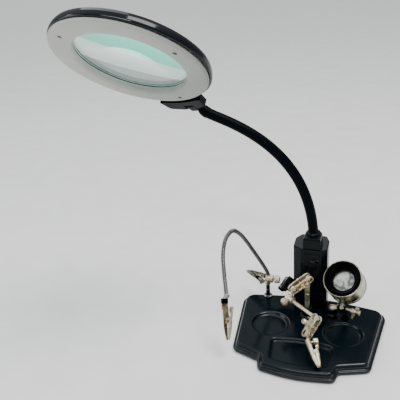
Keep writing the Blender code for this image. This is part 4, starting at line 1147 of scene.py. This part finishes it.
def make_front_arm():
    make_front_post()
    upper = make_clamp("upper", "upper_clamp", BALL_A, BALL_B, UPPER_NORMAL)
    outer = PLATE_GAP + PLATE_THICKNESS + 0.25
    bolt = spun([(0.2, -outer - 2.2), (2.4, -outer - 2.2), (2.9, -outer - 1.6), (2.9, -outer),
                 (1.35, -outer), (1.35, outer + 3.6), (1.1, outer + 4.4), (0.2, outer + 4.4)], 0.25, 28)
    hex_nut = loft([circle(2.7, outer, 6), circle(2.9, outer + 0.3, 6), circle(2.9, outer + 2.1, 6),
                    circle(2.6, outer + 2.5, 6)])
    wings = []
    for sign in (-1, 1):
        wing = rounded([(1.2, 0.3, 0.3), (5.6, 1.2, 1), (5.9, 3.6, 1.1), (4.3, 3.7, 0.6), (1.2, 2.4, 0.4)], 4)
        blade = moved(slab(wing, -0.6, 0.6, 0.3), at(0, 0, outer) @ quarter("X"))
        wings.append(moved(blade, upper @ Matrix.Rotation(0 if sign > 0 else math.pi, 4, "Z")))
    add("wing_nut_upper", moved(bolt, upper), "brass", "wing_nut", ["upper_wing_nut"], [],
        [moved(hex_nut, upper), *wings])
    make_rod_block()
    lower = make_clamp("lower", "lower_clamp", BALL_C, BALL_D, LOWER_NORMAL)
    long_screw = spun([(0.2, -outer - 1.8), (2.2, -outer - 1.8), (2.6, -outer - 1.2), (2.6, -outer),
                       (1.35, -outer), (1.35, outer + 4), (2.4, outer + 4.6), (2.6, outer + 5.3),
                       (2.6, outer + 8.3), (1.9, outer + 9.2), (0.2, outer + 9.2)], 0.3, 32)
    add("lower_bolt", moved(long_screw, lower), "nickel", "lower_screw", ["lower_thumb_screw"])


def make_rod_block():
    along = (vec(BALL_C) - vec(ROD_BLOCK)).normalized()
    rod_place = frame_at(ROD_BLOCK, along)
    bore = ROD_RADIUS + 0.2
    sleeve = spun([(3.7, -4.2), (3.7, 4.2), (bore, 4.2), (bore, -4.2)], 0.5, 36, closed=True)
    stem_axis = vec(BALL_B) - vec(ROD_BLOCK)
    stem = spun([(0.2, 3), (1.9, 3), (1.4, 6.5), (1.4, stem_axis.length), (0.2, stem_axis.length)], 0.4, 28)
    add("rod_sleeve", moved(sleeve, rod_place), "nickel", "block", ["rod_block"], [],
        [moved(stem, frame_at(ROD_BLOCK, stem_axis)), ball(BALL_B)])
    length = (vec(BALL_C) - vec(ROD_BLOCK)).length
    bar = spun([(0.2, -6), (ROD_RADIUS - 0.3, -6), (ROD_RADIUS, -5.6), (ROD_RADIUS, length - 5.4),
                (1.2, length - 4.6), (1.2, length - 1), (0.2, length - 1)], 0.25, 36)
    add("cross_bar", moved(bar, rod_place), "nickel", "cross_rod", ["arm_rod"], [], [ball(BALL_C)])
    thumb_place = frame_at(ROD_BLOCK, (along.y, -along.x, 0.04))
    thumb = knurled(
        [(0.3, 4.1), (1.4, 4.1), (1.5, 6)], [(3, 9.4), (1.5, 9.5), (0.3, 9.5)], 3.9, 6.2, 9.2, 18, 0.22)
    add("block_thumb_nut", moved(thumb, thumb_place), "nickel", "block_screw", ["block_thumb_screw"])


def make_clips():
    scale = 0.92
    place = clip_frame(BALL_D, CLIP_1_TIP, (0.934, 0.357, 0), 16 * scale) @ Matrix.Scale(scale, 4)
    tail_axis = at(0, 0, BARREL_DROP) @ Matrix.Rotation(-math.pi / 2, 4, "Y")
    neck_start = (place @ tail_axis) @ Vector((0, 0, 17))
    stem = [swept([neck_start, vec(BALL_D)], [1.1, 1.1], 24), ball(BALL_D)]
    make_clip(1, BALL_D, CLIP_1_TIP, (0.934, 0.357, 0), scale, 17.6, "nickel", "nickel", stem)
    screw_place = place @ at(-14.6, 0, BARREL_DROP)
    head = knurled(
        [(0.3, 3), (1.3, 3), (1.3, 4.6)], [(3, 9.5), (1.4, 9.6), (0.3, 9.6)], 3.7, 4.8, 9.3, 18, 0.2)
    add("clip_1_thumb_nut", moved(head, screw_place), "nickel", "clip_1_screw", ["clip_1_thumb_screw"])
    make_clip(2, CLIP_2_ROOT, CLIP_2_TIP, (0, 0, -1), 0.92, 18.4, "tarnished", "tarnished")
    make_clip(3, CLIP_3_ROOT, CLIP_3_TIP, (0.934, 0.357, 0), 1.1, 18, "bronze", "nickel")
    make_hose_end()


def make_hose_end():
    """The crimped end of the flexible arm and the dark collar around the clip's barrel."""
    place = clip_frame(CLIP_3_ROOT, CLIP_3_TIP, (0.934, 0.357, 0), 17.6)
    clip_end = place @ Vector((-19, 0, -2.1))
    hose_end = vec(HOSE_ROUTE[-1])
    along = clip_end - hose_end
    crimp = spun([(0.3, -2.4), (2.4, -2.4), (2.6, -1.6), (2.6, 0), (2.3, 0.6), (2.3, along.length),
                  (0.3, along.length)], 0.4, 32)
    add("arm_end_crimp", moved(crimp, frame_at(hose_end, along)), "steel", "clip_3")
    collar = spun([(2.9, 0), (3.3, 0.3), (3.5, 1.2), (3.3, 2.2), (3.5, 3.2), (3.3, 4.6), (2.9, 4.9)], 0.4,
                  36, closed=True)
    barrel = frame_at(place @ Vector((-20.4, 0, -2.1)), place.to_3x3().col[0])
    add("arm_end_collar", moved(collar, barrel), "matt", "clip_3")


# ---- Loupe -------------------------------------------------------
def make_loupe():
    place = frame_at(LOUPE_FRONT, LOUPE_AXIS)
    r = LOUPE_RADIUS
    side = (vec(LOUPE_AXIS).cross(Vector((0, 0, 1)))).normalized()
    barrel = soften(
        [(r - 1.2, 0.6), (r - 0.4, 0.7), (r, 1.4), (r, 8.6), (r - 0.6, 9.4), (r - 0.6, 20), (r - 0.2, 20.6),
         (r - 0.2, 23.2), (r - 1.2, LOUPE_LENGTH), (r - 3, LOUPE_LENGTH), (r - 3.4, 16), (11.2, 13.2),
         (9.6, 13.2), (9.6, 12.3), (11.2, 12.3), (11.2, 8.6), (r - 1.2, 8.6)], 0.35, 3, closed=True)
    nearest = vec(LOUPE_FRONT) + vec(LOUPE_AXIS).normalized() * (
        (vec(LOUPE_PIVOT) - vec(LOUPE_FRONT)).dot(vec(LOUPE_AXIS).normalized()))
    ear_place = frame_at(LOUPE_PIVOT, vec(LOUPE_PIVOT) - nearest, side)
    ear = moved(block((-1.4, -2.9, -4.8), (1.4, 2.9, 2.5), 0.4, 0.4), ear_place)
    add("loupe_tube", moved(turned(barrel, 96, closed=True), place), "barrel", "loupe", ["loupe_barrel"],
        [rod(1.45, -6, 6, frame_at(LOUPE_PIVOT, side))], [ear])
    cup = spun([(r - 1.5, -0.4), (r - 1.5, 7.6), (r - 3.2, 8.2), (11.3, 8.2), (10.4, 8), (10.4, 5.4),
                (12.2, 3.8), (r - 4.4, 0.2), (r - 3.4, -1), (r - 2.1, -1)], 0.6, 96, closed=True)
    add("eyecup", moved(cup, place), "matt", "loupe", ["loupe_eyecup"])
    lens = [(0.05, 8.8), (2, 8.86), (4, 9), (6, 9.25), (8, 9.6), (9.6, 10), (10.7, 10.5), (10.7, 11.3),
            (9.6, 11.6), (8, 11.8), (6, 11.92), (4, 12), (2, 12.04), (0.05, 12.05)]
    add("loupe_glass", moved(turned(lens, 64), place), "loupe_glass", "loupe", ["loupe_lens"])

    x, y = LOUPE_POST
    post = spun([(0.2, DECK + 0.05), (4, DECK + 0.05), (4, DECK + 1.1), (2, DECK + 1.5), (1.9, 17),
                 (1.25, 17.3), (1.25, 19.5), (0.2, 19.5)], 0.3, 32)
    add("loupe_stand", moved(post, at(x, y)), "matt", "base", ["loupe_post"])
    fork_place = frame_at(LOUPE_PIVOT, (0, 0, 1), side)
    towards_post = fork_place.inverted() @ Vector((x, y, 20))
    seat = block((-4.1, min(-2.4, towards_post.y - 1.4), -5.6), (4.1, max(2.4, towards_post.y + 1.4), -4))
    cheeks = [block((low, -2.2, -4.8), (low + 1.8, 2.2, 2), 0.35, 0.35) for low in (-4.1, 2.3)]
    collar = spun([(0.2, 17.6), (2.9, 17.6), (2.9, 22), (0.2, 22)], 0.35, 32, at(x, y))
    add("loupe_yoke", collar, "black", "loupe_fork", ["loupe_bracket"],
        [rod(1.45, -8, 8, frame_at(LOUPE_PIVOT, side)), rod(1.45, 15, 19.8, at(x, y))],
        [moved(part, fork_place) for part in (seat, *cheeks)])
    screw = spun([(0.2, -5.5), (1.7, -5.5), (2, -5.2), (2, -4.5), (1.25, -4.5), (1.25, 9), (2.4, 9.3),
                  (2.4, 12), (1.8, 12.4), (1.8, 16.2), (2.4, 16.6), (2.4, 18), (0.2, 18)], 0.25, 32)
    wing_place = frame_at(LOUPE_PIVOT, side, (0, 0, 1))
    wing = rounded([(-7.8, 9.8, 1), (-2.4, 10.8, 3), (2.6, 12.4, 2), (5, 13.8, 1), (5.2, 17.6, 1.3),
                    (1.6, 15.8, 2), (-2.6, 13.4, 3), (-8, 12, 0.9)], 4)
    turn = Matrix.Rotation(math.radians(-10), 4, "Z") @ quarter("X")
    add("loupe_wing", moved(screw, wing_place), "nickel", "loupe_screw", ["loupe_wing_screw"], [],
        [moved(slab(wing, -0.75, 0.75, 0.3), wing_place @ turn)])


# ---- CAD nodes that stay -----------------------------------------
KEPT_NODES = {
    "base_plate": "black", "weight_plate": "steel", "foot_pad": "foam", "battery_cell_1": "cell",
    "battery_cell_2": "cell", "battery_cell_3": "cell", "contact_plate_bottom": "steel",
    "contact_plate_top": "steel", "switch_body": "steel", "led_board": "board",
}


def dress_kept_nodes():
    for name, look in KEPT_NODES.items():
        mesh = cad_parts[name].data
        mesh.materials.clear()
        mesh.materials.append(LOOKS[look][0])


# ---- Stage, light and camera -------------------------------------
def make_floor():
    bm = bmesh.new()
    bmesh.ops.create_grid(bm, x_segments=8, y_segments=8, size=6000)
    floor = raw_object("floor", bm)
    look = Look("pale_floor", (0.8, 0.8, 0.785), 0.6)
    look.set(Base_Color=look.tint(look.spread(look.noise(30, 5), 0, 1), (0.78, 0.78, 0.765),
                                  (0.82, 0.82, 0.805)))
    look.bump(look.noise(220, 3), 0.05, 0.0005)
    floor.data.materials.append(look.material)


def add_light(name, kind, place, energy, colour):
    """A light that looks at the middle of the object."""
    data = bpy.data.lights.new(name, kind)
    data.energy = energy
    data.color = colour
    light = bpy.data.objects.new(name, data)
    light.location = vec(place)
    light.rotation_euler = (vec(LIGHT_TARGET) - vec(place)).to_track_quat("-Z", "Y").to_euler()
    bpy.context.scene.collection.objects.link(light)
    return data


def make_light():
    world = bpy.data.worlds.new("studio")
    world.use_nodes = True
    nodes = world.node_tree.nodes
    links = world.node_tree.links
    background = nodes["Background"]
    background.inputs["Color"].default_value = (0.93, 0.955, 0.98, 1)
    split = nodes.new("ShaderNodeSeparateXYZ")
    links.new(nodes.new("ShaderNodeTexCoord").outputs["Generated"], split.inputs[0])
    rise = nodes.new("ShaderNodeMapRange")
    rise.interpolation_type = "SMOOTHSTEP"
    rise.inputs["From Min"].default_value = 0.2
    rise.inputs["From Max"].default_value = 0.9
    rise.inputs["To Min"].default_value = WORLD_LOW
    rise.inputs["To Max"].default_value = WORLD_HIGH
    links.new(split.outputs["Z"], rise.inputs["Value"])
    links.new(rise.outputs["Result"], background.inputs["Strength"])
    bpy.context.scene.world = world
    for name, place, width, height, energy, colour in SOFT_BOXES:
        box = add_light(name, "AREA", place, energy, colour)
        box.shape = "RECTANGLE"
        box.size = width
        box.size_y = height
    sun = add_light("back", "SUN", (-0.5, 0.8, 1.3), 0.95, (0.95, 0.98, 1))
    sun.angle = SUN_SPREAD


def make_camera():
    data = bpy.data.cameras.new("camera")
    data.lens = CAMERA_LENS
    data.clip_start = 0.01
    camera = bpy.data.objects.new("camera", data)
    turn = Matrix.Rotation(CAMERA_YAW, 4, "Z") @ Matrix.Rotation(math.pi / 2 - CAMERA_PITCH, 4, "X")
    camera.matrix_world = at(*(vec(CAMERA_PLACE) * MM)) @ turn @ Matrix.Rotation(CAMERA_ROLL, 4, "Z")
    bpy.context.scene.collection.objects.link(camera)
    bpy.context.scene.camera = camera


make_camera()
make_light()
make_floor()
make_base()
make_column()
make_neck_socket()
make_side_knob()
make_bars()
make_head()
make_left_post()
make_front_arm()
make_clips()
make_loupe()
dress_kept_nodes()
